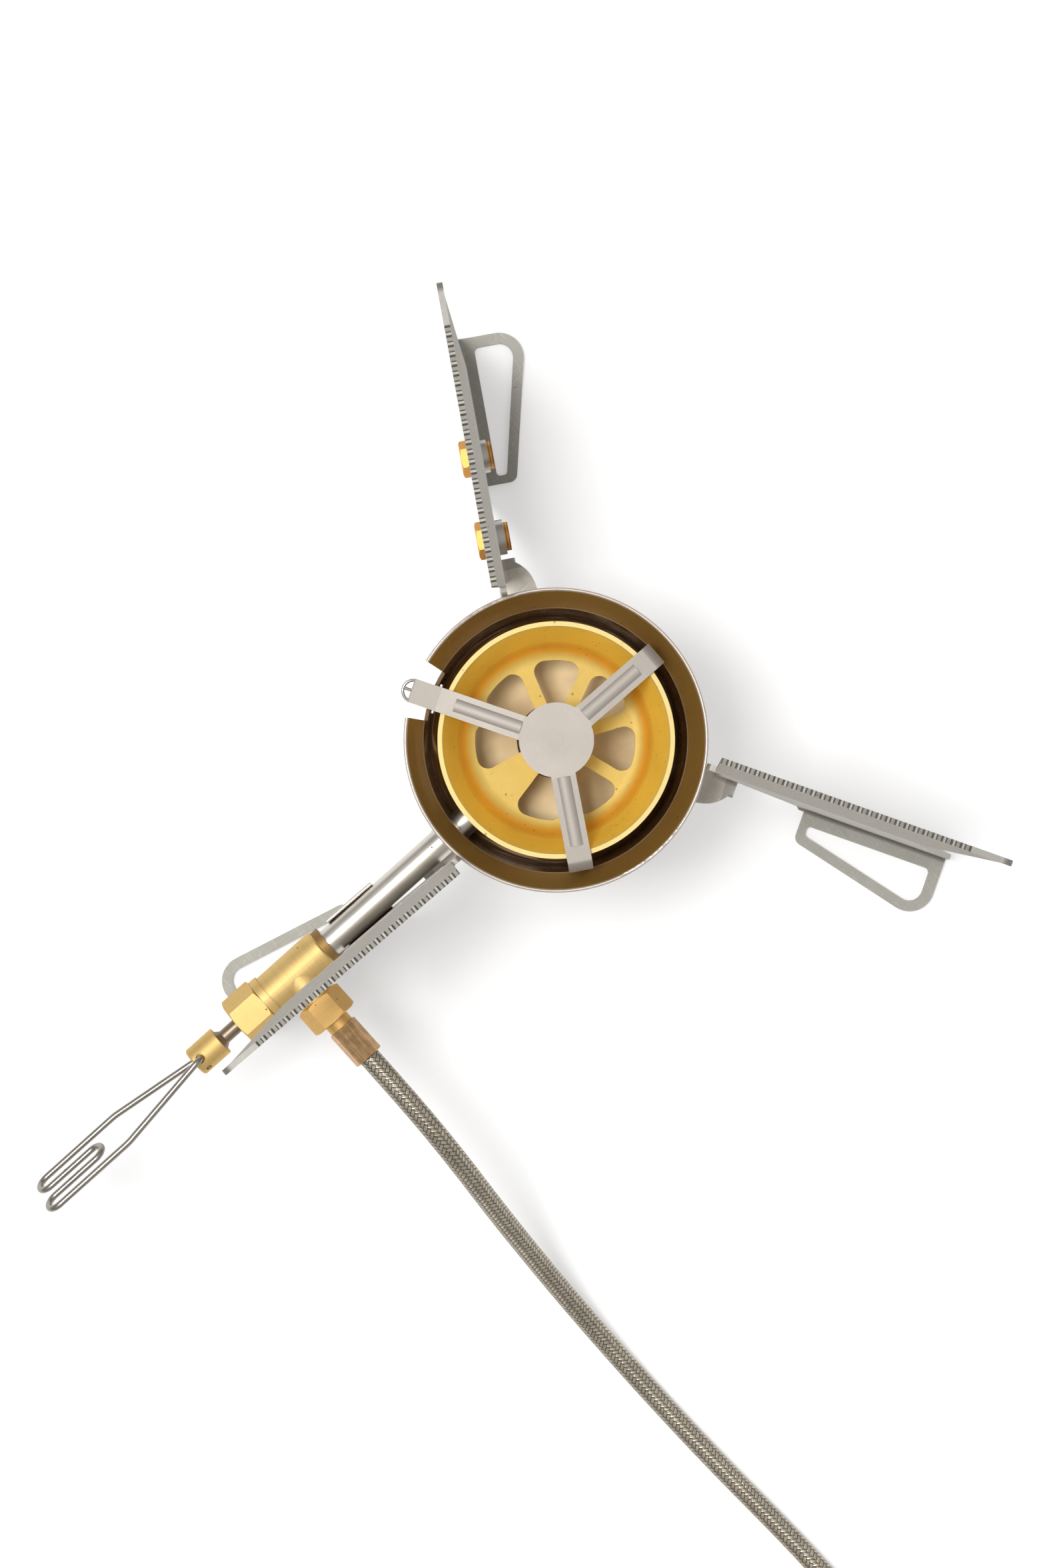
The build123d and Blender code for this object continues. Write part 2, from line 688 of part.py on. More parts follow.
# Spindle with its needle point, and the collar pinned to it through a slanting hole beside the bail's
BAIL_AT = COLLAR_AT + BAIL_SET
PIN_PLANE = Plane(
    origin=burner(TUBE_Z) + Vector(0, -BAIL_AT, 0),
    x_dir=(0, 1, 0),
    z_dir=(sin(radians(PIN_TILT)), 0, cos(radians(PIN_TILT))),
)
with BuildPart() as valve_spindle:
    add(turned(
        [
            (SPINDLE_IN, 0),
            (SPINDLE_IN + 2.5, SPINDLE_R * 0.5),
            (SPINDLE_IN + 3.5, SPINDLE_R),
            (COLLAR_AT - 1.2, SPINDLE_R),
            (COLLAR_AT, SPINDLE_R + 0.9),
            (COLLAR_AT, SPINDLE_R),
            (COLLAR_AT + SOCKET, SPINDLE_R),
            (COLLAR_AT + SOCKET, 0),
        ],
        VALVE_SIDE,
        VALVE_AXIS,
    ))
    with BuildSketch(PIN_PLANE):
        Circle(PIN_R)
    extrude(amount=COLLAR_R, both=True, mode=Mode.SUBTRACT)
keep("valve_spindle", valve_spindle)

with BuildPart() as control_collar:
    add(turned(
        [
            (COLLAR_AT, SPINDLE_R),
            (COLLAR_AT, COLLAR_R),
            (COLLAR_AT + COLLAR_LENGTH - 0.4, COLLAR_R),
            (COLLAR_AT + COLLAR_LENGTH, COLLAR_R - 0.4),
            (COLLAR_AT + COLLAR_LENGTH, 0),
            (COLLAR_AT + SOCKET, 0),
            (COLLAR_AT + SOCKET, SPINDLE_R),
        ],
        VALVE_SIDE,
        VALVE_AXIS,
    ))
    for way in (1, -1):
        with BuildSketch(plan(TUBE_Z + way * (BAIL_STUB - FIT))):
            with Locations((0, -BAIL_AT)):
                Circle(BAIL_HOLE)
        extrude(amount=way * COLLAR_R, mode=Mode.SUBTRACT)
    with BuildSketch(PIN_PLANE):
        Circle(PIN_R)
    extrude(amount=COLLAR_R, both=True, mode=Mode.SUBTRACT)
keep("control_collar", control_collar)

with BuildPart() as collar_pin:
    with BuildSketch(PIN_PLANE):
        Circle(PIN_R)
    extrude(amount=COLLAR_R - 0.3, both=True)
keep("collar_pin", collar_pin)


def bail_point(along, half, way, twist):
    """A point of the bail: distance past its hinge, half width, side (+1 up) and twist about its length."""
    swung = radians(twist)
    return burner(TUBE_Z) + Vector(sin(swung) * half * way, -BAIL_AT - along, cos(swung) * half * way)


# Control bail: both wire ends hinge in the collar, and the wire doubles back in a loop at the far end
TURN_R = (BAIL_HALF - LOOP_HALF) / 2
FAR = BAIL_LENGTH - BAIL_WIRE / 2 - TURN_R
NEAR = BAIL_LENGTH - LOOP_RETURN + BAIL_WIRE / 2 + LOOP_HALF
with BuildPart() as control_bail:
    with BuildLine() as wire:
        for way in (1, -1):
            FilletPolyline(
                bail_point(0, BAIL_STUB, way, 0),
                bail_point(0, BAIL_SHOULDER, way, 0),
                bail_point(BAIL_SPREAD_AT, BAIL_HALF, way, BAIL_TWIST),
                bail_point(FAR, BAIL_HALF, way, BAIL_TWIST),
                radius=[1.6, 12],
            )
            ThreePointArc(
                bail_point(FAR, BAIL_HALF, way, BAIL_TWIST),
                bail_point(FAR + TURN_R, (BAIL_HALF + LOOP_HALF) / 2, way, BAIL_TWIST),
                bail_point(FAR, LOOP_HALF, way, BAIL_TWIST),
            )
            Line(bail_point(FAR, LOOP_HALF, way, BAIL_TWIST), bail_point(NEAR, LOOP_HALF, way, BAIL_TWIST))
        ThreePointArc(
            bail_point(NEAR, LOOP_HALF, 1, BAIL_TWIST),
            bail_point(NEAR - LOOP_HALF, 0, 1, BAIL_TWIST),
            bail_point(NEAR, LOOP_HALF, -1, BAIL_TWIST),
        )
    with BuildSketch(plan(TUBE_Z + BAIL_STUB)):
        with Locations((0, -BAIL_AT)):
            Circle(BAIL_WIRE / 2)
    sweep(path=wire.wire())
keep("control_bail", control_bail)

# Fuel inlet: hexagon nut on the boss, its neck and the ferrule of the hose, crimped to flat sides
with BuildPart() as inlet_nut:
    add(faceted(
        Plane(origin=INLET_CENTRE + Vector(INLET_NUT_IN, 0, 0), x_dir=(0, 1, 0), z_dir=(1, 0, 0)),
        INLET_AF,
        INLET_NUT_OUT - INLET_NUT_IN,
    ))
    add(turned(
        [(INLET_NUT_OUT - 1, 0), (INLET_NUT_OUT - 1, 3.0), (FERRULE_IN, 3.0), (FERRULE_IN, 0)],
        INLET_SIDE,
        INLET_AXIS,
    ))
keep("inlet_nut", inlet_nut)

with BuildPart() as inlet_ferrule:
    add(faceted(
        Plane(origin=INLET_CENTRE + Vector(FERRULE_IN, 0, 0), x_dir=(0, 1, 0), z_dir=(1, 0, 0)),
        FERRULE_AF,
        FERRULE_OUT - FERRULE_IN,
        FERRULE_SIDES,
    ))
keep("inlet_ferrule", inlet_ferrule)

# Spare jets in the first leg, and the threaded bosses behind its plate
PLATE_FACE = PLATE_OFFSET + SHEET / 2
for name, place in JET_PLACES.items():
    with BuildPart() as spare_jet:
        add(faceted(Plane(origin=side(LEG_1_ANGLE).offset(-PLATE_FACE).from_local_coords(Vector(*place, 0)),
                      x_dir=outward(LEG_1_ANGLE), z_dir=outward(LEG_1_ANGLE + 90)), SPARE_AF, SPARE_HEAD))
        with BuildSketch(side(LEG_1_ANGLE).offset(-PLATE_FACE)):
            with Locations(place):
                Circle(SPARE_THREAD_R)
        extrude(amount=PLATE_FACE - SPARE_REACH)
    keep(f"spare_jet_{name}", spare_jet)
    with BuildPart() as jet_boss:
        with BuildSketch(side(LEG_1_ANGLE).offset(SHEET / 2 - PLATE_OFFSET)):
            with Locations(place):
                Circle(BOSS_R)
                Circle(SPARE_THREAD_R + FIT / 2, mode=Mode.SUBTRACT)
        extrude(amount=BOSS_THICK)
    keep(f"jet_boss_{name}", jet_boss)

# Hose: free stretch from the ferrule over the floor to the coil
EXIT = INLET_CENTRE + Vector(FERRULE_OUT, 0, 0)
route = [EXIT + Vector(*point) for point in HOSE_ROUTE]
runs = [(b - a).length for a, b in zip(route, route[1:])]
turns = [(b - a).get_angle(c - b) for a, b, c in zip(route, route[1:], route[2:])]
radii = [0.45 * min(runs[i], runs[i + 1]) / sin(radians(turn / 2)) * cos(radians(turn / 2))
         for i, turn in enumerate(turns)]
print("hose runs", [round(run, 1) for run in runs], "bend radii", [round(radius) for radius in radii])
with BuildPart() as fuel_hose:
    with BuildLine() as lay:
        FilletPolyline(*route, radius=radii)
    with BuildSketch(Plane(origin=route[0], z_dir=route[1] - route[0])):
        Circle(HOSE_D / 2)
    sweep(path=lay.wire())
HOSE_FREE = lay.wire().length
print("free hose", round(HOSE_FREE, 1), "volume share", fuel_hose.part.volume / (HOSE_FREE * pi * HOSE_D**2 / 4))
keep("fuel_hose", fuel_hose)

# Coil: one turn on the floor that climbs over itself, and half a turn on top
COIL_IN = route[-1] + Vector(HOSE_D, 0, 0)
COIL_CENTRE = COIL_IN + Vector(0, -COIL_R, 0)


def coil_point(turned_by):
    """Centre of the hose after a turn in degrees: level, then up over the start, then level again."""
    share = min(max((turned_by - 180) / (180 - CLIMB_SHORT), 0), 1)
    height = COIL_RISE * share * share * (3 - 2 * share)
    return COIL_CENTRE + Vector(COIL_R * sin(radians(turned_by)), COIL_R * cos(radians(turned_by)), height)


def coil_heading(turned_by):
    return (coil_point(turned_by + 0.01) - coil_point(turned_by - 0.01)).normalized()


def two_arcs(start, leaving, end, arriving):
    """Two circular arcs between two places of the coil, tangent where they meet. They join the line being built."""
    across_gap = end - start
    both_ways = leaving + arriving
    spare = 2 * (1 - leaving.dot(arriving))
    pull = across_gap.dot(both_ways)
    reach = (sqrt(pull**2 + spare * across_gap.dot(across_gap)) - pull) / spare
    meet = (start + leaving * reach + end - arriving * reach) / 2
    TangentArc(start, meet, tangent=leaving)
    TangentArc(meet, end, tangent=arriving * -1, tangent_from_first=False)


stops = [0, 90, 180, 270 - CLIMB_SHORT / 2, 360 - CLIMB_SHORT, 450]
stops.append(180 * COIL_HALF_TURNS)
with BuildPart() as hose_coil:
    with BuildLine() as lay:
        Line(route[-1], COIL_IN)
        for begin, finish in zip(stops, stops[1:]):
            two_arcs(coil_point(begin), coil_heading(begin), coil_point(finish), coil_heading(finish))
        COIL_OUT = coil_point(stops[-1])
        Line(COIL_OUT, COIL_OUT + Vector(-COIL_TAIL, 0, 0))
    with BuildSketch(Plane(origin=route[-1], z_dir=(1, 0, 0))):
        Circle(HOSE_D / 2)
    sweep(path=lay.wire())
samples = [lay.wire() @ (i / 600) for i in range(601)]
spacing = lay.wire().length / 600
least = min((a - b).length for i, a in enumerate(samples) for b in samples[i + int(4 * HOSE_D / spacing):])
print("coil length", round(lay.wire().length, 1), "least gap to itself", round(least - HOSE_D, 2))
print("whole hose", round(HOSE_FREE + lay.wire().length, 1))
keep("hose_coil", hose_coil)

# Tie round both turns of the coil
TIE_AT = COIL_CENTRE + Vector(COIL_R, 0, COIL_RISE / 2)
TIE_HEIGHT = HOSE_D + COIL_RISE + 2 * FIT
with BuildPart() as hose_tie:
    with BuildSketch(Plane(origin=TIE_AT, x_dir=(1, 0, 0), z_dir=(0, 1, 0))):
        RectangleRounded(HOSE_D + 2 * (FIT + TIE_SHEET), TIE_HEIGHT + 2 * TIE_SHEET, 2.6)
        RectangleRounded(HOSE_D + 2 * FIT, TIE_HEIGHT, 2.4, mode=Mode.SUBTRACT)
    extrude(amount=TIE_WIDTH / 2, both=True)
keep("hose_tie", hose_tie)

# Pump end: ferrule, hexagon connector with a threaded spigot, and its seal
PUMP_START = COIL_OUT + Vector(-COIL_TAIL, 0, 0)
PUMP_SIDE = Plane(origin=PUMP_START, x_dir=(-1, 0, 0), z_dir=(0, 1, 0))
PUMP_ACROSS = Plane(origin=PUMP_START, x_dir=(0, 1, 0), z_dir=(-1, 0, 0))
PUMP_AXIS = Axis(PUMP_START, (-1, 0, 0))
with BuildPart() as pump_ferrule:
    add(faceted(PUMP_ACROSS, FERRULE_AF, PUMP_FERRULE, FERRULE_SIDES))
keep("pump_ferrule", pump_ferrule)

PUMP_SHANK = PUMP_FERRULE + PUMP_NUT
PUMP_END = PUMP_SHANK + PUMP_THREAD + PUMP_TIP
with BuildPart() as pump_connector:
    add(faceted(PUMP_ACROSS.offset(PUMP_FERRULE), PUMP_AF, PUMP_NUT))
    add(turned(
        [
            (PUMP_SHANK - 1, 0),
            (PUMP_SHANK - 1, PUMP_THREAD_R - 0.8),
            (PUMP_SHANK + 1, PUMP_THREAD_R - 0.8),
            (PUMP_SHANK + 1.8, PUMP_THREAD_R),
            (PUMP_SHANK + PUMP_THREAD - 0.8, PUMP_THREAD_R),
            (PUMP_SHANK + PUMP_THREAD, PUMP_THREAD_R - 0.8),
            (PUMP_SHANK + PUMP_THREAD, PUMP_TIP_R),
            (PUMP_END - 4.0, PUMP_TIP_R),
            (PUMP_END - 4.0, PUMP_TIP_R - 0.9),
            (PUMP_END - 2.2, PUMP_TIP_R - 0.9),
            (PUMP_END - 2.2, PUMP_TIP_R),
            (PUMP_END - 0.6, PUMP_TIP_R),
            (PUMP_END, PUMP_TIP_R - 0.6),
            (PUMP_END, 0),
        ],
        PUMP_SIDE,
        PUMP_AXIS,
    ))
keep("pump_connector", pump_connector)

with BuildPart() as connector_seal:
    with BuildSketch(PUMP_SIDE):
        with Locations((PUMP_END - 3.1, PUMP_TIP_R - 0.9 + FIT / 3 + SEAL_WIRE / 2)):
            Circle(SEAL_WIRE / 2)
    revolve(axis=PUMP_AXIS)
keep("connector_seal", connector_seal)

print(len(pieces), "pieces")
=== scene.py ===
"""Looks of a multi-fuel camping stove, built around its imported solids.

Metres, +Z up. The burner's axis is upright, the fuel tube runs along -Y and the hose leaves along +X.
"""

import math

import bpy
import numpy as np
from bpy.props import FloatProperty, FloatVectorProperty, PointerProperty
from mathutils import Matrix, Vector


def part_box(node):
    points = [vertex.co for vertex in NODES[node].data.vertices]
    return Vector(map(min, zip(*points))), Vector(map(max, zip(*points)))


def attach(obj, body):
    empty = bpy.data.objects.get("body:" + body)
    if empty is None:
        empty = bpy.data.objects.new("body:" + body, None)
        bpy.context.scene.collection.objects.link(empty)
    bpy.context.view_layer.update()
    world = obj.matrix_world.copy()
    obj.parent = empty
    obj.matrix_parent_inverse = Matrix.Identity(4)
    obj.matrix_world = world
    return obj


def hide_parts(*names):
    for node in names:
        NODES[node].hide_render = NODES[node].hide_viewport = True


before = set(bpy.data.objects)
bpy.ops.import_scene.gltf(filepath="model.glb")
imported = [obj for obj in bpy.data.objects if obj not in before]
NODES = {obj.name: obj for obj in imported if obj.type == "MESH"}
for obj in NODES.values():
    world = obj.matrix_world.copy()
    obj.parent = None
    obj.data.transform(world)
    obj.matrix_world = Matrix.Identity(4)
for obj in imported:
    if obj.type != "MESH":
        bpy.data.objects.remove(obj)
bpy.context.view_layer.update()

bl_info = {
    "name": "Camping stove",
    "version": (1, 0, 0),
    "blender": (4, 5, 0),
    "location": "View3D > Sidebar > Stove",
    "description": "Dresses the packed solids of a multi-fuel camping stove",
    "category": "Object",
}

MM = 0.001


def middle(node):
    """Centre of a node's box."""
    low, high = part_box(node)
    return (np.array(low) + np.array(high)) / 2


AXIS = middle("hub_washer")[:2]
TUBE = middle("fuel_tube")
EXIT = np.array([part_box("inlet_ferrule")[1][0], *middle("inlet_ferrule")[1:]])

# Heights and places that the finishes change at, and the bowl's two kinds of gloss
BOWL_NECK = 58.0 * MM
BOWL_LIP = 0.45 * MM
# NECK_LINE is half the width of the painted highlight line at the bowl's neck, and the softness of the cone's edge
NECK_LINE = 0.5 * MM
GLOSSY_ROUGH = 0.14
SATIN_ROUGH = 0.42
# The hub tabs, within HUB_TABS of the axis and below TABS_TOP, get painted light against the bowl's shadow on them
HUB_TABS = 40.0 * MM
TABS_TOP = 42.0 * MM
# The teeth get painted light on their tops and painted shade between them, over TEETH_DEPTH down from the top
TEETH_DEPTH = 1.1 * MM
TEETH_SHADE = 1.6 * MM
FOOT_TOP = 4.0 * MM
VALVE_WAY = (0, -1, 0)
VALVE_CENTRE = (float(AXIS[0]), float(AXIS[1]), float(TUBE[2]))
# Below NECK_END the valve body gets painted shade, a dark ring for the shadowed groove by the nut
NECK_END = 69.6 * MM
JET_WAY = (math.cos(math.radians(238.4)), math.sin(math.radians(238.4)), 0)
# Pitch of the painted thread on the jets, whose grooves get painted shade
JET_THREAD = 0.6 * MM
JET_THREAD_END = -39.3 * MM

# The hose's free route from its exit and its coil, in millimetres, as the solids have them
HOSE_ROUTE = [
    (0, 0, 0),
    (14, 0, 0),
    (30, -0.9, -3.6),
    (46, -2.9, -15.0),
    (63, -4.7, -29.5),
    (79, -5.9, -39.9),
    (99, -6.4, -43.9),
    (125, -6.0, -44.0),
    (151, -4.7, -43.9),
    (168, -4.5, -43.4),
    (183, -4.5, -43.4),
]
COIL_R = 27.5
COIL_RISE = 5.5
HALF_TURN = 180
COIL_TURNED = 3 * HALF_TURN
COIL_STEP = 15
COIL_LEAD = 5.0
CLIMB_SHORT = 22.0
COIL_TAIL = 14.5

# The hose's braid: strands each way round it, their pitch along it, their relief, and the grid on each strand
STRANDS = 12
STRAND = 1.1 * MM
RELIEF = 0.2 * MM
DIPPED = 0.35
POINTS_AROUND = 6
POINTS_ALONG = 3

# Marks of wear: scales of the hairlines along each axis, the specks' shaken edges and the reach of the fine bumps;
# and the scales of the painted glints, fine light arcs that stand for the lamps' reflections on the bowl's glossy
# wall
HAIRLINES = ((90, 2400, 1500), (2600, 110, 1700))
WALL_GLINTS = (45, 45, 1500)
GLINT_PATCHES = 45.0
SPECK_SHAKE = 0.6 * MM
BUMP_REACH = 0.1 * MM

# The studio: each lamp's side and its place across, up and above the floor as the camera sees it, and the floor
LAMPS = (("key", 0.4, (-0.35, 0.06, 1.4)), ("fill", 1.0, (1.1, -0.3, 0.9)))
AIM_HEIGHT = 0.05
SKY_FALL = 1.5
FLOOR_WHITE = 0.82
FLOOR_GLOW = 0.3


# Sizes, colours and light that a user would change

def colour(name, description, value):
    return FloatVectorProperty(name=name, description=description, default=value, size=3, subtype="COLOR",
                               min=0.0, max=1.0)


def srgb(*levels):
    """Linear colour of 8-bit screen levels."""
    part = np.array(levels) / 255
    return tuple(np.where(part > 0.04045, ((part + 0.055) / 1.055) ** 2.4, part / 12.92).tolist())


class StoveSizes(bpy.types.PropertyGroup):
    camera_height: FloatProperty(name="Camera height", description="Camera above the floor", default=1.0,
                                 unit="LENGTH")
    camera_turn: FloatProperty(name="Camera turn", description="Turn of the camera about the upright",
                               default=math.radians(48.1), subtype="ANGLE")
    camera_side: FloatProperty(name="Camera side", description="Camera's place beside the burner, along X",
                               default=-8.0 * MM, unit="LENGTH")
    camera_back: FloatProperty(name="Camera back", description="Camera's place beyond the burner, along -Y",
                               default=15.4 * MM, unit="LENGTH")
    aim_side: FloatProperty(name="Aim side", description="Place beside the burner that the camera looks at, along X",
                            default=2.0 * MM, unit="LENGTH")
    aim_back: FloatProperty(name="Aim back", description="Place beyond the burner that the camera looks at, along -Y",
                            default=12.0 * MM, unit="LENGTH")
    lens: FloatProperty(name="Lens", description="Focal length in millimetres", default=97.8)
    hose: FloatProperty(name="Hose", description="Diameter of the braided hose", default=5.0 * MM, unit="LENGTH")
    floor: FloatProperty(name="Floor", description="Half the side of the floor", default=8.0, unit="LENGTH")


class StoveColours(bpy.types.PropertyGroup):
    leg: colour("Leg steel", "Satin sheet of the legs", srgb(174, 170, 162))
    foot: colour("Foot steel", "Duller turned-in feet of the legs", srgb(160, 158, 150))
    spreader: colour("Spreader steel", "Satin sheet of the flame spreader", srgb(184, 176, 167))
    tube: colour("Tube steel", "Polished fuel tube", srgb(212, 206, 196))
    wire: colour("Wire", "Bright steel of the clip, the hub and the bosses", srgb(190, 186, 180))
    # Painted light: the tabs are lighter for the shadow that the bowl casts on them
    leg_tab_painted_light: colour("Leg tabs", "Tabs of the legs at the hub", srgb(200, 194, 184))
    # Painted light on the tops of the teeth and painted shade in the gaps between them
    leg_top_painted_light: colour("Leg teeth", "Tops of the serrated edge", srgb(164, 161, 154))
    leg_gap_painted_shade: colour("Leg gaps", "Gaps between the teeth", srgb(142, 139, 132))
    bail: colour("Bail wire", "Drawn wire of the control bail", srgb(158, 153, 144))
    bowl: colour("Bowl cone", "Heat-browned cone of the wind bowl", srgb(166, 133, 68))
    # Darker wall and floor: partly the bowl's heat tint, partly painted shade deep in the bowl
    bowl_wall_tint_and_shade: colour("Bowl wall", "Dark glossy wall and floor in the wind bowl", srgb(112, 88, 62))
    bowl_edge: colour("Bowl edge", "Bare rim and outside of the wind bowl", srgb(198, 186, 174))
    cup: colour("Cup brass", "Golden wall of the burner cup", srgb(255, 212, 80))
    cup_floor: colour("Cup floor", "Pale yellow floor and spokes of the burner cup", srgb(208, 180, 92))
    # Painted shade: the darker ring stands for the shade in the curve between the cup's wall and floor
    cup_curve_shade: colour("Cup curve", "Deeper ring where the cup's wall meets its floor", srgb(224, 162, 48))
    cup_rim: colour("Cup rim", "Light rim of the burner cup", srgb(228, 204, 132))
    # Painted shade: the dark ring at the valve's neck stands for the shadowed groove by the nut
    neck: colour("Neck bronze", "Bronze ring at the valve's neck", srgb(150, 118, 70))
    valve: colour("Valve brass", "Turned valve body, nut and collar", srgb(221, 189, 124))
    inlet: colour("Inlet brass", "Pale hexagon nut of the fuel inlet", srgb(226, 186, 118))
    jet: colour("Jet brass", "Spare jets", srgb(230, 172, 96))
    spindle: colour("Spindle steel", "Dark steel of the spindle and its pin", srgb(146, 130, 112))
    # Painted shade in the grooves of the jets' painted thread
    jet_groove_shade: colour("Jet grooves", "Grooves of the jets' threads", srgb(110, 66, 24))
    ferrule: colour("Ferrule bronze", "Crimped ferrules of the hose", srgb(194, 156, 112))
    braid: colour("Braid", "Wires of the hose's steel braid", srgb(224, 214, 196))
    braid_gap: colour("Braid gaps", "Shadowed gaps of the hose's steel braid", srgb(84, 74, 56))
    # Partly the pad's own beige, partly painted light: lifted and yellowed for the light that the brass throws on it
    pad: colour("Pad", "Fibre pad in the bowl", srgb(250, 224, 176))
    seal: colour("Seal", "Rubber seal and tie", srgb(38, 37, 36))


class StoveLight(bpy.types.PropertyGroup):
    zenith: FloatProperty(name="Zenith", description="Brightness of the studio overhead", default=0.68)
    horizon: FloatProperty(name="Horizon", description="Brightness of the studio at its sides", default=0.28)
    key: FloatProperty(name="Key", description="Power of the soft light at the left", default=11.6, unit="POWER")
    fill: FloatProperty(name="Fill", description="Power of the soft light at the right", default=0.8, unit="POWER")


def sizes():
    return bpy.context.scene.stove_sizes


def colours():
    return bpy.context.scene.stove_colours


def light():
    return bpy.context.scene.stove_light


# Materials: a short way to write nodes, shared effects as groups, and the finishes

def new_group(name, inputs, outputs):
    """An empty node group with inputs (name, kind, default) and outputs (name, kind), and its two end nodes."""
    tree = bpy.data.node_groups.new(name, "ShaderNodeTree")
    for label, kind, default in inputs:
        socket = tree.interface.new_socket(label, in_out="INPUT", socket_type=kind)
        socket.default_value = default
    for label, kind in outputs:
        tree.interface.new_socket(label, in_out="OUTPUT", socket_type=kind)
    return tree, tree.nodes.new("NodeGroupInput"), tree.nodes.new("NodeGroupOutput")


def add(tree, kind, settings=(), **links):
    """A node with its settings; each link is a value, or a socket that feeds the input of that name."""
    node = tree.nodes.new(kind)
    for label, value in dict(settings).items():
        setattr(node, label, value)
    for label, value in links.items():
        spot = node.inputs[int(label[1:]) if label[1:].isdigit() else label.replace("_", " ")]
        if isinstance(value, bpy.types.NodeSocket):
            tree.links.new(value, spot)
        else:
            spot.default_value = value
    return node


def math_of(tree, operation, *values):
    """The result of a Math node on one to three numbers or sockets."""
    links = {f"i{spot}": value for spot, value in enumerate(values)}
    return add(tree, "ShaderNodeMath", {"operation": operation}, **links).outputs[0]


def opposite(tree, mask):
    return math_of(tree, "SUBTRACT", 1.0, mask)


def vector_of(tree, operation, first, second=(0, 0, 0), out="Vector"):
    return add(tree, "ShaderNodeVectorMath", {"operation": operation}, i0=first, i1=second).outputs[out]


def scaled(tree, vector, amount):
    return add(tree, "ShaderNodeVectorMath", {"operation": "SCALE"}, i0=vector, Scale=amount).outputs[0]


def place_on(tree):
    """Object coordinates, which are the part's own on every piece."""
    return tree.nodes.new("ShaderNodeTexCoord").outputs["Object"]


def between(tree, value, low, high):
    """A value's share of the way from low to high, eased at both ends."""
    node = add(tree, "ShaderNodeMapRange", {"interpolation_type": "SMOOTHSTEP"}, i0=value, i1=low, i2=high)
    return node.outputs[0]


def noise(tree, at, scale, detail=2.0, rough=0.5):
    node = add(tree, "ShaderNodeTexNoise", Vector=at, Scale=scale, Detail=detail, Roughness=rough)
    return node.outputs["Fac"]


def grain_group():
    """Fine streaks along one direction: noise on coordinates squeezed by a scale for each axis."""
    tree, start, end = new_group(
        "Metal grain",
        [("Stretch", "NodeSocketVector", (1, 1, 1)), ("Depth", "NodeSocketFloat", 0.1),
         ("Patch", "NodeSocketFloat", 120.0)],
        [("Streak", "NodeSocketFloat"), ("Blotch", "NodeSocketFloat"), ("Normal", "NodeSocketVector")],
    )
    place = place_on(tree)
    streak = noise(tree, vector_of(tree, "MULTIPLY", place, start.outputs["Stretch"]), 1.0, 3.0, 0.6)
    blotch = noise(tree, place, start.outputs["Patch"], 3.0)
    bump = add(tree, "ShaderNodeBump", Strength=start.outputs["Depth"], Distance=BUMP_REACH, Height=streak)
    tree.links.new(streak, end.inputs["Streak"])
    tree.links.new(blotch, end.inputs["Blotch"])
    tree.links.new(bump.outputs["Normal"], end.inputs["Normal"])
    return tree


def turned_group():
    """Place on a turned piece: distances along and off its axis, how far its face looks away, and fine rings."""
    tree, start, end = new_group(
        "Turned",
        [("Centre", "NodeSocketVector", (0, 0, 0)), ("Way", "NodeSocketVector", (0, 0, 1)),
         ("Rings", "NodeSocketFloat", 2500.0), ("Depth", "NodeSocketFloat", 0.1)],
        [("Along", "NodeSocketFloat"), ("Radius", "NodeSocketFloat"), ("Outward", "NodeSocketFloat"),
         ("Ring", "NodeSocketFloat"), ("Normal", "NodeSocketVector")],
    )
    place = place_on(tree)
    reach = vector_of(tree, "SUBTRACT", place, start.outputs["Centre"])
    along = vector_of(tree, "DOT_PRODUCT", reach, start.outputs["Way"], out="Value")
    aside = vector_of(tree, "SUBTRACT", reach, scaled(tree, start.outputs["Way"], along))
    radius = vector_of(tree, "LENGTH", aside, out="Value")
    facing = tree.nodes.new("ShaderNodeNewGeometry").outputs["Normal"]
    outward = vector_of(tree, "DOT_PRODUCT", vector_of(tree, "NORMALIZE", aside), facing, out="Value")
    both = add(tree, "ShaderNodeCombineXYZ", X=along, Y=radius)
    ring = noise(tree, both.outputs[0], start.outputs["Rings"], 3.0)
    bump = add(tree, "ShaderNodeBump", Strength=start.outputs["Depth"], Distance=BUMP_REACH, Height=ring)
    for label, value in (("Along", along), ("Radius", radius), ("Outward", outward), ("Ring", ring),
                         ("Normal", bump.outputs["Normal"])):
        tree.links.new(value, end.inputs[label])
    return tree


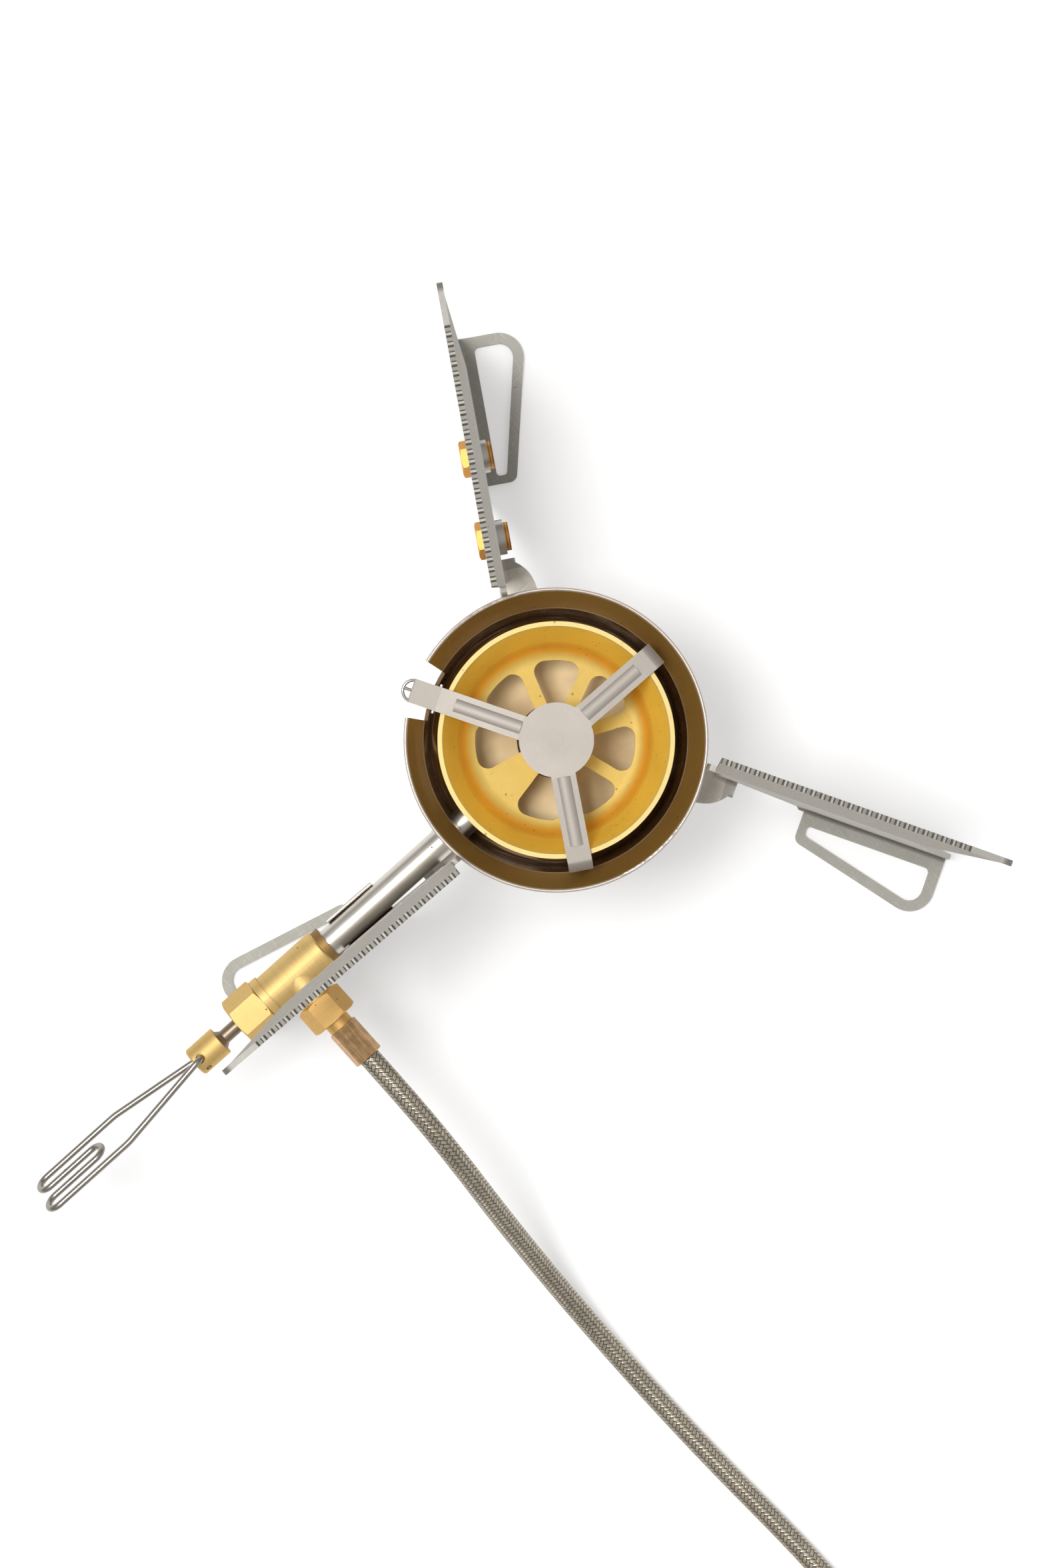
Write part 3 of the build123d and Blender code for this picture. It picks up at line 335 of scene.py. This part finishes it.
def marks_group():
    """Wear: small specks in a few cells of a pattern, and hairlines where a stretched noise crosses its middle."""
    tree, start, end = new_group(
        "Wear marks",
        [("Scale", "NodeSocketFloat", 900.0), ("Share", "NodeSocketFloat", 0.1)],
        [("Speck", "NodeSocketFloat"), ("Hairline", "NodeSocketFloat")],
    )
    place = place_on(tree)
    bent = add(tree, "ShaderNodeTexNoise", Vector=place, Scale=1500.0, Detail=2.0)
    shaken = vector_of(tree, "ADD", place, scaled(tree, bent.outputs["Color"], SPECK_SHAKE))
    cells = add(tree, "ShaderNodeTexVoronoi", Vector=shaken, Scale=start.outputs["Scale"])
    chosen = add(tree, "ShaderNodeSeparateColor", i0=cells.outputs["Color"]).outputs[0]
    chosen = math_of(tree, "LESS_THAN", chosen, start.outputs["Share"])
    near = between(tree, cells.outputs["Distance"], 0.3, 0.12)
    tree.links.new(math_of(tree, "MULTIPLY", near, chosen), end.inputs["Speck"])
    lines = []
    for stretch in HAIRLINES:
        squeezed = vector_of(tree, "MULTIPLY", place, stretch)
        middle_off = math_of(tree, "SUBTRACT", noise(tree, squeezed, 1.0, 1.0), 0.5)
        lines.append(between(tree, math_of(tree, "ABSOLUTE", middle_off), 0.012, 0.0))
    tree.links.new(math_of(tree, "MAXIMUM", *lines), end.inputs["Hairline"])
    return tree


GROUPS = {"Metal grain": grain_group, "Turned": turned_group, "Wear marks": marks_group}


def group(name):
    return bpy.data.node_groups.get(name) or GROUPS[name]()


def mixed(tree, share, first, second):
    """A colour between two, by a share."""
    node = add(tree, "ShaderNodeMix", {"data_type": "RGBA"}, i0=share)
    for spot, value in ((6, first), (7, second)):
        if isinstance(value, bpy.types.NodeSocket):
            tree.links.new(value, node.inputs[spot])
        else:
            node.inputs[spot].default_value = (*value, 1)[:4]
    return node.outputs[2]


def ramp(tree, value, stops):
    """A colour along a value from 0 to 1, by stops of a place and a colour."""
    node = add(tree, "ShaderNodeValToRGB", Fac=value)
    points = node.color_ramp.elements
    while len(points) < len(stops):
        points.new(1.0)
    for point, (place, tint) in zip(points, stops):
        point.position = place
        point.color = (*tint, 1)
    return node.outputs["Color"]


def turned(tree, centre, way=(0, 0, 1), rings=2500.0, depth=0.1):
    return add(tree, "ShaderNodeGroup", {"node_tree": group("Turned")}, Centre=centre, Way=way, Rings=rings,
               Depth=depth).outputs


def share_of(tree, value, low, high):
    """A value's even share of the way from low to high, held to 0 and 1."""
    return add(tree, "ShaderNodeMapRange", i0=value, i1=low, i2=high).outputs[0]


def shade(tree, base, change, spread):
    """A colour made lighter and darker by a mask round 0.5."""
    return scaled(tree, base, math_of(tree, "MULTIPLY_ADD", change, spread, 1.0 - spread / 2))


def new_material(name):
    """A material, its nodes and its shader."""
    material = bpy.data.materials.new(name)
    material.use_nodes = True
    return material, material.node_tree, material.node_tree.nodes["Principled BSDF"]


def metal(name, base, rough, stretch, depth, spread=0.2, uneven=0.12, patch=120.0, specks=0.04, dirt=0.5,
          lines=0.12, rings=None, metallic=1.0):
    """A metal with streaks along one direction, soft patches, dark specks and bright hairlines.

    A base or a roughness that changes over the piece is a function that adds its nodes. Rings are the inputs of a
    turned surface, whose fine rings then take the streaks' place.
    """
    material, tree, shader = new_material(name)
    shader.inputs["Metallic"].default_value = metallic
    worn = add(tree, "ShaderNodeGroup", {"node_tree": group("Metal grain")}, Stretch=stretch, Depth=depth,
               Patch=patch)
    tinted = base(tree) if callable(base) else (*base,)
    own_rough = rough(tree) if callable(rough) else rough
    fine = turned(tree, *rings) if rings else worn.outputs
    tinted = shade(tree, tinted, fine["Ring" if rings else "Streak"], spread)
    tinted = shade(tree, tinted, worn.outputs["Blotch"], spread)
    marks = add(tree, "ShaderNodeGroup", {"node_tree": group("Wear marks")}, Share=specks).outputs
    dark = math_of(tree, "MULTIPLY", marks["Speck"], -dirt)
    bright = math_of(tree, "MULTIPLY", marks["Hairline"], lines)
    level = math_of(tree, "ADD", math_of(tree, "ADD", dark, bright), 1.0)
    tree.links.new(scaled(tree, tinted, level), shader.inputs["Base Color"])
    patchy = math_of(tree, "MULTIPLY_ADD", math_of(tree, "SUBTRACT", worn.outputs["Blotch"], 0.5), uneven, own_rough)
    tree.links.new(math_of(tree, "MULTIPLY_ADD", marks["Speck"], dirt, patchy), shader.inputs["Roughness"])
    tree.links.new(fine["Normal"], shader.inputs["Normal"])
    return material


def over(tree, value, edge, soft=0.15 * MM):
    """A mask of what lies beyond an edge."""
    return share_of(tree, value, edge - soft / 2, edge + soft / 2)


def cup_paint(tree):
    """Golden wall, a ring of painted shade where it curves into the paler floor, and a light rim."""
    low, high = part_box("burner_cup")
    height = share_of(tree, turned(tree, (*AXIS, 0))["Along"], low[2], high[2])
    tint, pale, curve_shade, rim = colours().cup, colours().cup_floor, colours().cup_curve_shade, colours().cup_rim
    # Painted shade: the darker ring where the wall curves into the floor
    stops = ((0.0, pale), (0.1, pale), (0.15, curve_shade), (0.2, curve_shade), (0.36, tint), (0.94, tint), (0.975, rim))
    return ramp(tree, height, stops)


def bowl_zones(tree):
    """Height on the wind bowl, and masks of its cone and of its bare rim and outside."""
    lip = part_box("wind_bowl")[1][2] - BOWL_LIP
    spot = turned(tree, (*AXIS, 0))
    height, outward = spot["Along"], spot["Outward"]
    upward = add(tree, "ShaderNodeSeparateXYZ", i0=tree.nodes.new("ShaderNodeNewGeometry").outputs["Normal"])
    inside = between(tree, math_of(tree, "SUBTRACT", upward.outputs["Z"], outward), 0.05, 0.2)
    bare = math_of(tree, "MAXIMUM", opposite(tree, inside), over(tree, height, lip))
    return height, over(tree, height, BOWL_NECK, NECK_LINE), bare


def bowl_paint(tree):
    """Brown cone, a painted highlight line at the neck, a dark wall that is partly painted shade, with painted glints
    in fine light arcs round it, and bare rim and outside.
    """
    height, cone, bare = bowl_zones(tree)
    # Painted highlight: a light line along the bend at the bowl's neck
    line = math_of(tree, "MULTIPLY", over(tree, height, BOWL_NECK - NECK_LINE),
                   opposite(tree, over(tree, height, BOWL_NECK + NECK_LINE)))
    place = place_on(tree)
    # Painted glints: fine light arcs in the bare rim's colour, standing for the lamps' reflections in the glossy wall
    painted_glint = math_of(tree, "SUBTRACT", noise(tree, vector_of(tree, "MULTIPLY", place, WALL_GLINTS), 1.0, 1.0), 0.5)
    painted_glint = between(tree, math_of(tree, "ABSOLUTE", painted_glint), 0.06, 0.0)
    painted_glint = math_of(tree, "MULTIPLY", painted_glint, between(tree, noise(tree, place, GLINT_PATCHES), 0.45, 0.55))
    # The dark wall's colour is partly painted shade, with the painted glints laid on it
    wall = mixed(tree, painted_glint, colours().bowl_wall_tint_and_shade, colours().bowl_edge)
    tint = mixed(tree, cone, wall, colours().bowl)
    tint = mixed(tree, math_of(tree, "MULTIPLY", line, 0.85), tint, colours().bowl_edge)
    return mixed(tree, bare, tint, colours().bowl_edge)


def bowl_gloss(tree):
    """Roughness of the wind bowl: satin, with a glossy wall and floor under the cone."""
    _, cone, bare = bowl_zones(tree)
    return math_of(tree, "MULTIPLY_ADD", math_of(tree, "MAXIMUM", cone, bare), SATIN_ROUGH - GLOSSY_ROUGH,
                   GLOSSY_ROUGH)


def leg_paint(tree):
    """Satin sheet, with painted light on the hub tabs and the tops of the teeth, painted shade between the teeth, and
    darker on the feet.
    """
    upward = turned(tree, (0, 0, 0))["Along"]
    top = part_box("fixed_leg")[1][2]
    # Painted light on the teeth's tops and painted shade in their gaps, in a band just under the top edge
    teeth = share_of(tree, upward, top - TEETH_DEPTH, top)
    near = over(tree, upward, top - TEETH_SHADE, 0.2 * MM)
    tint = mixed(tree, over(tree, upward, FOOT_TOP, FOOT_TOP), colours().foot, colours().leg)
    tint = mixed(tree, near, tint, mixed(tree, teeth, colours().leg_gap_painted_shade, colours().leg_top_painted_light))
    # Painted light: the hub tabs are lighter for the bowl's shadow on them
    off_tab = math_of(tree, "MAXIMUM", over(tree, turned(tree, (*AXIS, 0))["Radius"], HUB_TABS),
                      over(tree, upward, TABS_TOP))
    return mixed(tree, off_tab, colours().leg_tab_painted_light, tint)


def jet_paint(tree):
    """Jet brass with painted shade in the grooves of a fine thread on its inner end."""
    along = turned(tree, (0, 0, 0), JET_WAY)["Along"]
    wave = math_of(tree, "ABSOLUTE", math_of(tree, "SINE", math_of(tree, "MULTIPLY", along, math.pi / JET_THREAD)))
    on_thread = opposite(tree, over(tree, along, JET_THREAD_END))
    # Painted shade in the thread's grooves
    groove_shade = math_of(tree, "MULTIPLY", on_thread, opposite(tree, math_of(tree, "POWER", wave, 0.7)))
    return mixed(tree, groove_shade, colours().jet, colours().jet_groove_shade)


def body_paint(tree):
    """Bright turned brass with a dark bronze-toned ring of painted shade at its neck, for the shadowed groove by the
    nut.
    """
    along = turned(tree, VALVE_CENTRE, VALVE_WAY)["Along"]
    # Painted shade: the dark ring below NECK_END stands for the shadowed groove by the nut
    return mixed(tree, opposite(tree, over(tree, along, NECK_END)), colours().valve, colours().neck)


def soft_skin(name, tint, rough, grain, patch, depth, spread):
    """A matt skin with a fine even grain and soft patches."""
    material, tree, shader = new_material(name)
    skin = add(tree, "ShaderNodeGroup", {"node_tree": group("Metal grain")}, Stretch=(grain,) * 3, Depth=depth,
               Patch=patch).outputs
    tree.links.new(shade(tree, (*tint,), skin["Blotch"], spread), shader.inputs["Base Color"])
    tree.links.new(skin["Normal"], shader.inputs["Normal"])
    shader.inputs["Roughness"].default_value = rough
    return material


def rubber(name):
    return soft_skin(name, colours().seal, 0.65, 3000, 300.0, 0.2, 0.5)


def dress(material, *names):
    """Gives CAD nodes a finish."""
    for name in names:
        NODES[name].data.materials[0] = material


# Meshes from arrays

def surface(name, points, close_around, caps=False, uv=None):
    """A mesh over a grid of points (along, around, 3), its faces outward where the grid turns left about its run."""
    rows, columns = points.shape[:2]
    right = np.arange(columns if close_around else columns - 1)
    i, j = np.meshgrid(np.arange(rows - 1), right, indexing="ij")
    i2, j2 = i + 1, (j + 1) % columns
    quads = np.stack([i * columns + j, i * columns + j2, i2 * columns + j2, i2 * columns + j], -1).reshape(-1, 4)
    mesh = bpy.data.meshes.new(name)
    mesh.vertices.add(rows * columns)
    mesh.vertices.foreach_set("co", points.reshape(-1).astype(np.float32))
    ends = [np.arange(columns)[::-1], (rows - 1) * columns + np.arange(columns)] if caps else []
    corners = np.concatenate([quads.reshape(-1), *ends])
    starts = np.concatenate([np.arange(len(quads)) * 4, len(quads) * 4 + np.arange(len(ends)) * columns])
    mesh.loops.add(len(corners))
    mesh.loops.foreach_set("vertex_index", corners.astype(np.int32))
    mesh.polygons.add(len(starts))
    mesh.polygons.foreach_set("loop_start", starts.astype(np.int32))
    mesh.polygons.foreach_set("use_smooth", np.arange(len(starts)) < len(quads))
    mesh.update(calc_edges=True)
    if uv is not None:
        layer = mesh.uv_layers.new(name="run")
        across = uv[1][np.stack([j, j + 1, j + 1, j], -1)]
        along = uv[0][np.stack([i, i, i + 1, i + 1], -1)]
        flat = np.stack([across, along], -1).reshape(-1, 2)
        flat = np.concatenate([flat, np.zeros((len(corners) - len(flat), 2))])
        layer.data.foreach_set("uv", flat.reshape(-1).astype(np.float32))
    piece = bpy.data.objects.new(name, mesh)
    bpy.context.scene.collection.objects.link(piece)
    return piece


def finish_piece(piece, body, slot, material, *replaces):
    """Puts a new piece on its body, with its finish and the solids it stands for."""
    piece.data.materials.append(material)
    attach(piece, body)
    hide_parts(*replaces)


# Hose

def hose_points():
    """Control points of the hose's line: the free route, the coil's turns and its straight end.

    The coil's first half turn lies on the floor, and the next climbs on it by a smooth step.
    """
    route = [EXIT + MM * np.array(point) for point in HOSE_ROUTE]
    into = route[-1] + MM * np.array([COIL_LEAD, 0, 0])
    centre = into - MM * np.array([0, COIL_R, 0])
    for degrees in range(0, COIL_TURNED + 1, COIL_STEP):
        share = min(max((degrees - HALF_TURN) / (HALF_TURN - CLIMB_SHORT), 0), 1)
        height = COIL_RISE * share * share * (3 - 2 * share)
        angle = math.radians(degrees)
        route.append(centre + MM * np.array([COIL_R * math.sin(angle), COIL_R * math.cos(angle), height]))
    route.append(route[-1] - MM * np.array([COIL_TAIL, 0, 0]))
    return route


def spline_of(name, points):
    """A smooth line with those points as its control points."""
    curve = bpy.data.curves.new(name, "CURVE")
    curve.dimensions = "3D"
    line = curve.splines.new("NURBS")
    line.points.add(len(points) - 1)
    line.points.foreach_set("co", np.c_[np.array(points), np.ones(len(points))].reshape(-1))
    line.order_u = 3
    line.use_endpoint_u = True
    line.resolution_u = 24
    return curve


def points_of(curve):
    """The points that a curve's line runs through."""
    holder = bpy.data.objects.new("line", curve)
    bpy.context.scene.collection.objects.link(holder)
    bpy.context.view_layer.update()
    mesh = bpy.data.meshes.new_from_object(holder.evaluated_get(bpy.context.evaluated_depsgraph_get()))
    found = np.empty(len(mesh.vertices) * 3)
    mesh.vertices.foreach_get("co", found)
    bpy.data.objects.remove(holder)
    bpy.data.meshes.remove(mesh)
    return found.reshape(-1, 3)


def looking(stand, aim, turn):
    """Place and turn of something that looks from one point to another, its right side towards an angle."""
    back = (stand - aim).normalized()
    right = Vector((-math.sin(turn), math.cos(turn), 0)).cross(back).normalized()
    return Matrix.Translation(stand) @ Matrix((right, back.cross(right), back)).transposed().to_4x4()


def woven_tube(name, run):
    """A braided tube along a line.

    Strands wind both ways round it, counted by p = around + along and q = around - along in strand widths. The first
    way lies on top where the whole parts of p and q add to 0 or 1 in fours, the second way elsewhere. The surface
    rises as a square root of a sine across each strand and as a sine along its float, and dips where it goes under.
    """
    at = np.concatenate([[0], np.cumsum(np.linalg.norm(np.diff(run, axis=0), axis=1))])
    count = STRANDS * POINTS_AROUND
    rows = round(at[-1] / STRAND * POINTS_ALONG) + 1
    spot = np.linspace(0, at[-1], rows)
    centre = np.stack([np.interp(spot, at, run[:, axis]) for axis in range(3)], -1)
    way = np.gradient(centre, axis=0)
    way /= np.linalg.norm(way, axis=1, keepdims=True)
    side = np.cross(way, (0, 0, 1))
    side /= np.linalg.norm(side, axis=1, keepdims=True)
    around, along = np.arange(count + 1) / POINTS_AROUND, np.arange(rows) / POINTS_ALONG
    p, q = around[None, :-1] + along[:, None], around[None, :-1] - along[:, None]
    state = (np.floor(p) + np.floor(q)) % 4
    first = state < 2
    across = np.where(first, p, q) % 1
    floating = (np.where(first, q, p) % 1 + state % 2) / 2
    rise = np.sqrt(np.sin(np.pi * across)) * (DIPPED + (1 - DIPPED) * np.sin(np.pi * floating))
    radius = sizes().hose / 2 - RELIEF * (1 - rise)
    turn = 2 * np.pi * around[None, :-1, None] / STRANDS
    ring = np.cos(turn) * side[:, None] + np.sin(turn) * np.cross(way, side)[:, None]
    return surface(name, centre[:, None] + radius[..., None] * ring, close_around=True, caps=True,
                   uv=(along, around))


def braid_steel():
    """Woven steel: wires side by side in each strand, their crowns bright with painted light, with painted shade
    between them and where a strand dips under.
    """
    material, tree, shader = new_material("braided steel")
    shader.inputs["Metallic"].default_value = 1.0
    shader.inputs["Roughness"].default_value = 0.36
    spot = add(tree, "ShaderNodeSeparateXYZ", i0=tree.nodes.new("ShaderNodeTexCoord").outputs["UV"]).outputs
    p, q = math_of(tree, "ADD", spot["X"], spot["Y"]), math_of(tree, "SUBTRACT", spot["X"], spot["Y"])
    whole = math_of(tree, "ADD", math_of(tree, "FLOOR", p), math_of(tree, "FLOOR", q))
    state = math_of(tree, "FLOORED_MODULO", whole, 4.0)
    first = math_of(tree, "LESS_THAN", state, 1.5)
    own = add(tree, "ShaderNodeMix", i0=first, i2=q, i3=p).outputs[0]
    other = add(tree, "ShaderNodeMix", i0=first, i2=p, i3=q).outputs[0]
    wires = math_of(tree, "ABSOLUTE", math_of(tree, "SINE", math_of(tree, "MULTIPLY", own, 2 * math.pi)))
    floating = math_of(tree, "ADD", math_of(tree, "FRACT", other), math_of(tree, "MODULO", state, 2.0))
    lift = math_of(tree, "SINE", math_of(tree, "MULTIPLY", floating, math.pi / 2))
    strand = math_of(tree, "SINE", math_of(tree, "MULTIPLY", math_of(tree, "FRACT", own), math.pi))
    bright = math_of(tree, "MULTIPLY", math_of(tree, "POWER", wires, 0.3), math_of(tree, "POWER", lift, 0.6))
    bright = math_of(tree, "MULTIPLY", bright, math_of(tree, "POWER", strand, 0.5))
    each = add(tree, "ShaderNodeTexWhiteNoise", {"noise_dimensions": "2D"},
               Vector=add(tree, "ShaderNodeCombineXYZ", X=math_of(tree, "FLOOR", own), Y=first).outputs[0])
    tint = mixed(tree, bright, colours().braid_gap, colours().braid)
    tree.links.new(shade(tree, tint, each.outputs["Value"], 0.25), shader.inputs["Base Color"])
    bump = add(tree, "ShaderNodeBump", Strength=0.5, Distance=0.00012, Height=wires)
    tree.links.new(bump.outputs["Normal"], shader.inputs["Normal"])
    return material


class STOVE_OT_camera(bpy.types.Operator):
    """Places the camera almost straight above the stove"""

    bl_idname = "stove.camera"
    bl_label = "Camera"

    def execute(self, context):
        size = sizes()
        lens = bpy.data.cameras.new("camera")
        lens.lens = size.lens
        lens.sensor_width = 36
        camera = bpy.data.objects.new("camera", lens)
        stand = Vector((AXIS[0] + size.camera_side, AXIS[1] - size.camera_back, size.camera_height))
        aim = Vector((AXIS[0] + size.aim_side, AXIS[1] - size.aim_back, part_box("fixed_leg")[1][2]))
        camera.matrix_world = looking(stand, aim, size.camera_turn)
        context.scene.collection.objects.link(camera)
        context.scene.camera = camera
        return {"FINISHED"}


class STOVE_OT_hose(bpy.types.Operator):
    """Lays the braided hose and its coil, and finishes the pieces on its far end"""

    bl_idname = "stove.hose"
    bl_label = "Hose"

    def execute(self, context):
        curve = spline_of("fuel_line", hose_points())
        run = points_of(curve)
        bpy.data.curves.remove(curve)
        hose = woven_tube("fuel_line", run)
        finish_piece(hose, "base", "hose_braid", braid_steel(), "fuel_hose", "hose_coil")
        dress(metal("pump brass", colours().inlet, 0.6, (900, 200, 200), 0.15), "pump_connector")
        dress(metal("pump bronze", colours().ferrule, 0.4, (300, 900, 900), 0.2), "pump_ferrule")
        dress(rubber("tie rubber"), "hose_tie", "connector_seal")
        return {"FINISHED"}


class STOVE_OT_legs(bpy.types.Operator):
    """Finishes the three pressed legs, the hub and the jet bosses"""

    bl_idname = "stove.legs"
    bl_label = "Legs"

    def execute(self, context):
        satin = metal("leg steel", leg_paint, 0.6, (130, 130, 2400), 0.35, spread=0.2, specks=0.02, dirt=0.25,
                      lines=0.35)
        dress(satin, "fixed_leg", "swing_leg_1", "swing_leg_2")
        plain = metal("boss steel", colours().wire, 0.32, (900, 900, 900), 0.15)
        dress(plain, "hub_rivet", "hub_washer", "jet_boss_upper", "jet_boss_lower", "cup_posts")
        dress(metal("jet brass", jet_paint, 0.5, (900, 900, 900), 0.12), "spare_jet_upper", "spare_jet_lower",
              "main_jet")
        return {"FINISHED"}


class STOVE_OT_bowl(bpy.types.Operator):
    """Finishes the wind bowl and the priming pad in it"""

    bl_idname = "stove.bowl"
    bl_label = "Bowl"

    def execute(self, context):
        browned = metal("bowl steel", bowl_paint, bowl_gloss, (500, 500, 900), 0.05, spread=0.16, uneven=0.1,
                        metallic=0.6)
        shader = browned.node_tree.nodes["Principled BSDF"]
        shader.inputs["Coat Weight"].default_value = 0.35
        shader.inputs["Coat Roughness"].default_value = 0.08
        dress(browned, "wind_bowl")
        pad = bpy.data.objects.new("fibre_pad", NODES["priming_pad"].data.copy())
        context.scene.collection.objects.link(pad)
        pad.data.materials.clear()
        # The pad's colour is partly painted light, lifted and yellowed for the brass's bounce
        fibre = soft_skin("pad fibre", colours().pad, 0.95, 1500, 200.0, 0.6, 0.4)
        finish_piece(pad, "base", "pad_fibre", fibre, "priming_pad")
        return {"FINISHED"}


class STOVE_OT_burner(bpy.types.Operator):
    """Finishes the brass burner cup, the flame spreader and its clip"""

    bl_idname = "stove.burner"
    bl_label = "Burner"

    def execute(self, context):
        dress(metal("cup brass", cup_paint, 0.55, (300, 300, 500), 0.08, spread=0.16, specks=0.1, dirt=0.4,
                    metallic=0.25), "burner_cup")
        dress(metal("spreader steel", colours().spreader, 0.62, (1500, 1500, 1500), 0.15, spread=0.08, specks=0.0,
                    lines=0.05, metallic=0.75), "flame_spreader")
        dress(metal("clip wire", colours().wire, 0.25, (900, 900, 900), 0.05), "spreader_clip")
        return {"FINISHED"}


class STOVE_OT_valve(bpy.types.Operator):
    """Finishes the jet block, the fuel tube, the valve and its bail, and the fuel inlet"""

    bl_idname = "stove.valve"
    bl_label = "Valve"

    def execute(self, context):
        turning = (VALVE_CENTRE, VALVE_WAY, 2200.0, 0.2)
        dress(metal("valve brass", body_paint, 0.56, (400, 400, 400), 0.1, specks=0.05, rings=turning,
                    metallic=0.75), "valve_body")
        dress(metal("nut brass", colours().valve, 0.6, (400, 400, 400), 0.1, spread=0.14, rings=turning),
              "jet_block", "packing_nut", "control_collar")
        dress(metal("tube steel", colours().tube, 0.38, (1500, 60, 1500), 0.2, spread=0.16), "fuel_tube",
              "tube_saddle")
        dress(metal("bail wire", colours().bail, 0.34, (900, 60, 900), 0.1), "control_bail")
        dress(metal("spindle steel", colours().spindle, 0.45, (900, 60, 900), 0.08, rings=turning), "valve_spindle",
              "collar_pin")
        dress(metal("inlet brass", colours().inlet, 0.6, (900, 300, 300), 0.1), "inlet_nut")
        dress(metal("ferrule bronze", colours().ferrule, 0.34, (120, 1500, 1500), 0.8, spread=1.0, patch=500.0),
              "inlet_ferrule")
        dress(rubber("packing"), "gland_packing")
        return {"FINISHED"}


class STOVE_OT_stage(bpy.types.Operator):
    """Lays the pale floor and sets the soft studio light"""

    bl_idname = "stove.stage"
    bl_label = "Stage"

    def execute(self, context):
        reach = sizes().floor
        corners = np.array([[[-reach, -reach, 0], [reach, -reach, 0]], [[-reach, reach, 0], [reach, reach, 0]]])
        floor = surface("floor", corners, close_around=False)
        floor.data.materials.append(floor_paint())
        world = bpy.data.worlds.new("studio")
        context.scene.world = world
        world.use_nodes = True
        tree = world.node_tree
        upward = add(tree, "ShaderNodeSeparateXYZ", i0=tree.nodes.new("ShaderNodeTexCoord").outputs["Generated"])
        steep = math_of(tree, "POWER", math_of(tree, "MAXIMUM", upward.outputs["Z"], 0.0), SKY_FALL)
        level = add(tree, "ShaderNodeMapRange", i0=steep, i3=light().horizon, i4=light().zenith)
        sky = tree.nodes["Background"]
        sky.inputs["Color"].default_value = (1, 1, 1, 1)
        tree.links.new(level.outputs[0], sky.inputs["Strength"])
        turn = sizes().camera_turn
        for name, side, (across, up, height) in LAMPS:
            lamp = bpy.data.lights.new(name, "AREA")
            lamp.energy = getattr(light(), name)
            lamp.shape = "SQUARE"
            lamp.size = side
            holder = bpy.data.objects.new(name, lamp)
            stand = Vector((AXIS[0] + across * math.cos(turn) - up * math.sin(turn),
                            AXIS[1] + across * math.sin(turn) + up * math.cos(turn), height))
            holder.matrix_world = looking(stand, Vector((*AXIS, AIM_HEIGHT)), turn)
            context.scene.collection.objects.link(holder)
        context.scene.view_settings.view_transform = "Standard"
        return {"FINISHED"}


def floor_paint():
    """White to the camera and to mirrors, with the stove's own soft shadow left on it."""
    paint = bpy.data.materials.new("floor white")
    paint.use_nodes = True
    tree = paint.node_tree
    tree.nodes.clear()
    way = tree.nodes.new("ShaderNodeLightPath")
    seen = math_of(tree, "MAXIMUM", way.outputs["Is Camera Ray"], way.outputs["Is Glossy Ray"])
    seen = math_of(tree, "MAXIMUM", seen, way.outputs["Is Transmission Ray"])
    plain = add(tree, "ShaderNodeBsdfDiffuse", Color=(*(FLOOR_WHITE,) * 3, 1))
    glow = add(tree, "ShaderNodeEmission", Color=(1, 1, 1, 1), Strength=math_of(tree, "MULTIPLY", seen, FLOOR_GLOW))
    both = add(tree, "ShaderNodeAddShader", i0=plain.outputs[0], i1=glow.outputs[0])
    add(tree, "ShaderNodeOutputMaterial", Surface=both.outputs[0])
    return paint


class STOVE_PT_pieces(bpy.types.Panel):
    """Lists the stove's pieces and what may be changed"""

    bl_idname = "STOVE_PT_pieces"
    bl_label = "Camping stove"
    bl_space_type = "VIEW_3D"
    bl_region_type = "UI"
    bl_category = "Stove"

    def draw(self, context):
        for step in STEPS:
            self.layout.operator(step.bl_idname)
        for owner in (context.scene.stove_sizes, context.scene.stove_colours, context.scene.stove_light):
            box = self.layout.box()
            for label in owner.__annotations__:
                box.prop(owner, label)


STEPS = (STOVE_OT_camera, STOVE_OT_hose, STOVE_OT_legs, STOVE_OT_bowl, STOVE_OT_burner, STOVE_OT_valve,
         STOVE_OT_stage)
SETTINGS = {"stove_sizes": StoveSizes, "stove_colours": StoveColours, "stove_light": StoveLight}


def register():
    for kind in (*SETTINGS.values(), *STEPS, STOVE_PT_pieces):
        bpy.utils.register_class(kind)
    for name, kind in SETTINGS.items():
        setattr(bpy.types.Scene, name, PointerProperty(type=kind))


def unregister():
    for name in SETTINGS:
        delattr(bpy.types.Scene, name)
    for kind in (STOVE_PT_pieces, *reversed(STEPS), *reversed(SETTINGS.values())):
        bpy.utils.unregister_class(kind)


def main():
    register()
    bpy.ops.stove.camera()
    bpy.ops.stove.hose()
    bpy.ops.stove.legs()
    bpy.ops.stove.bowl()
    bpy.ops.stove.burner()
    bpy.ops.stove.valve()
    bpy.ops.stove.stage()


if __name__ == "__main__":
    main()
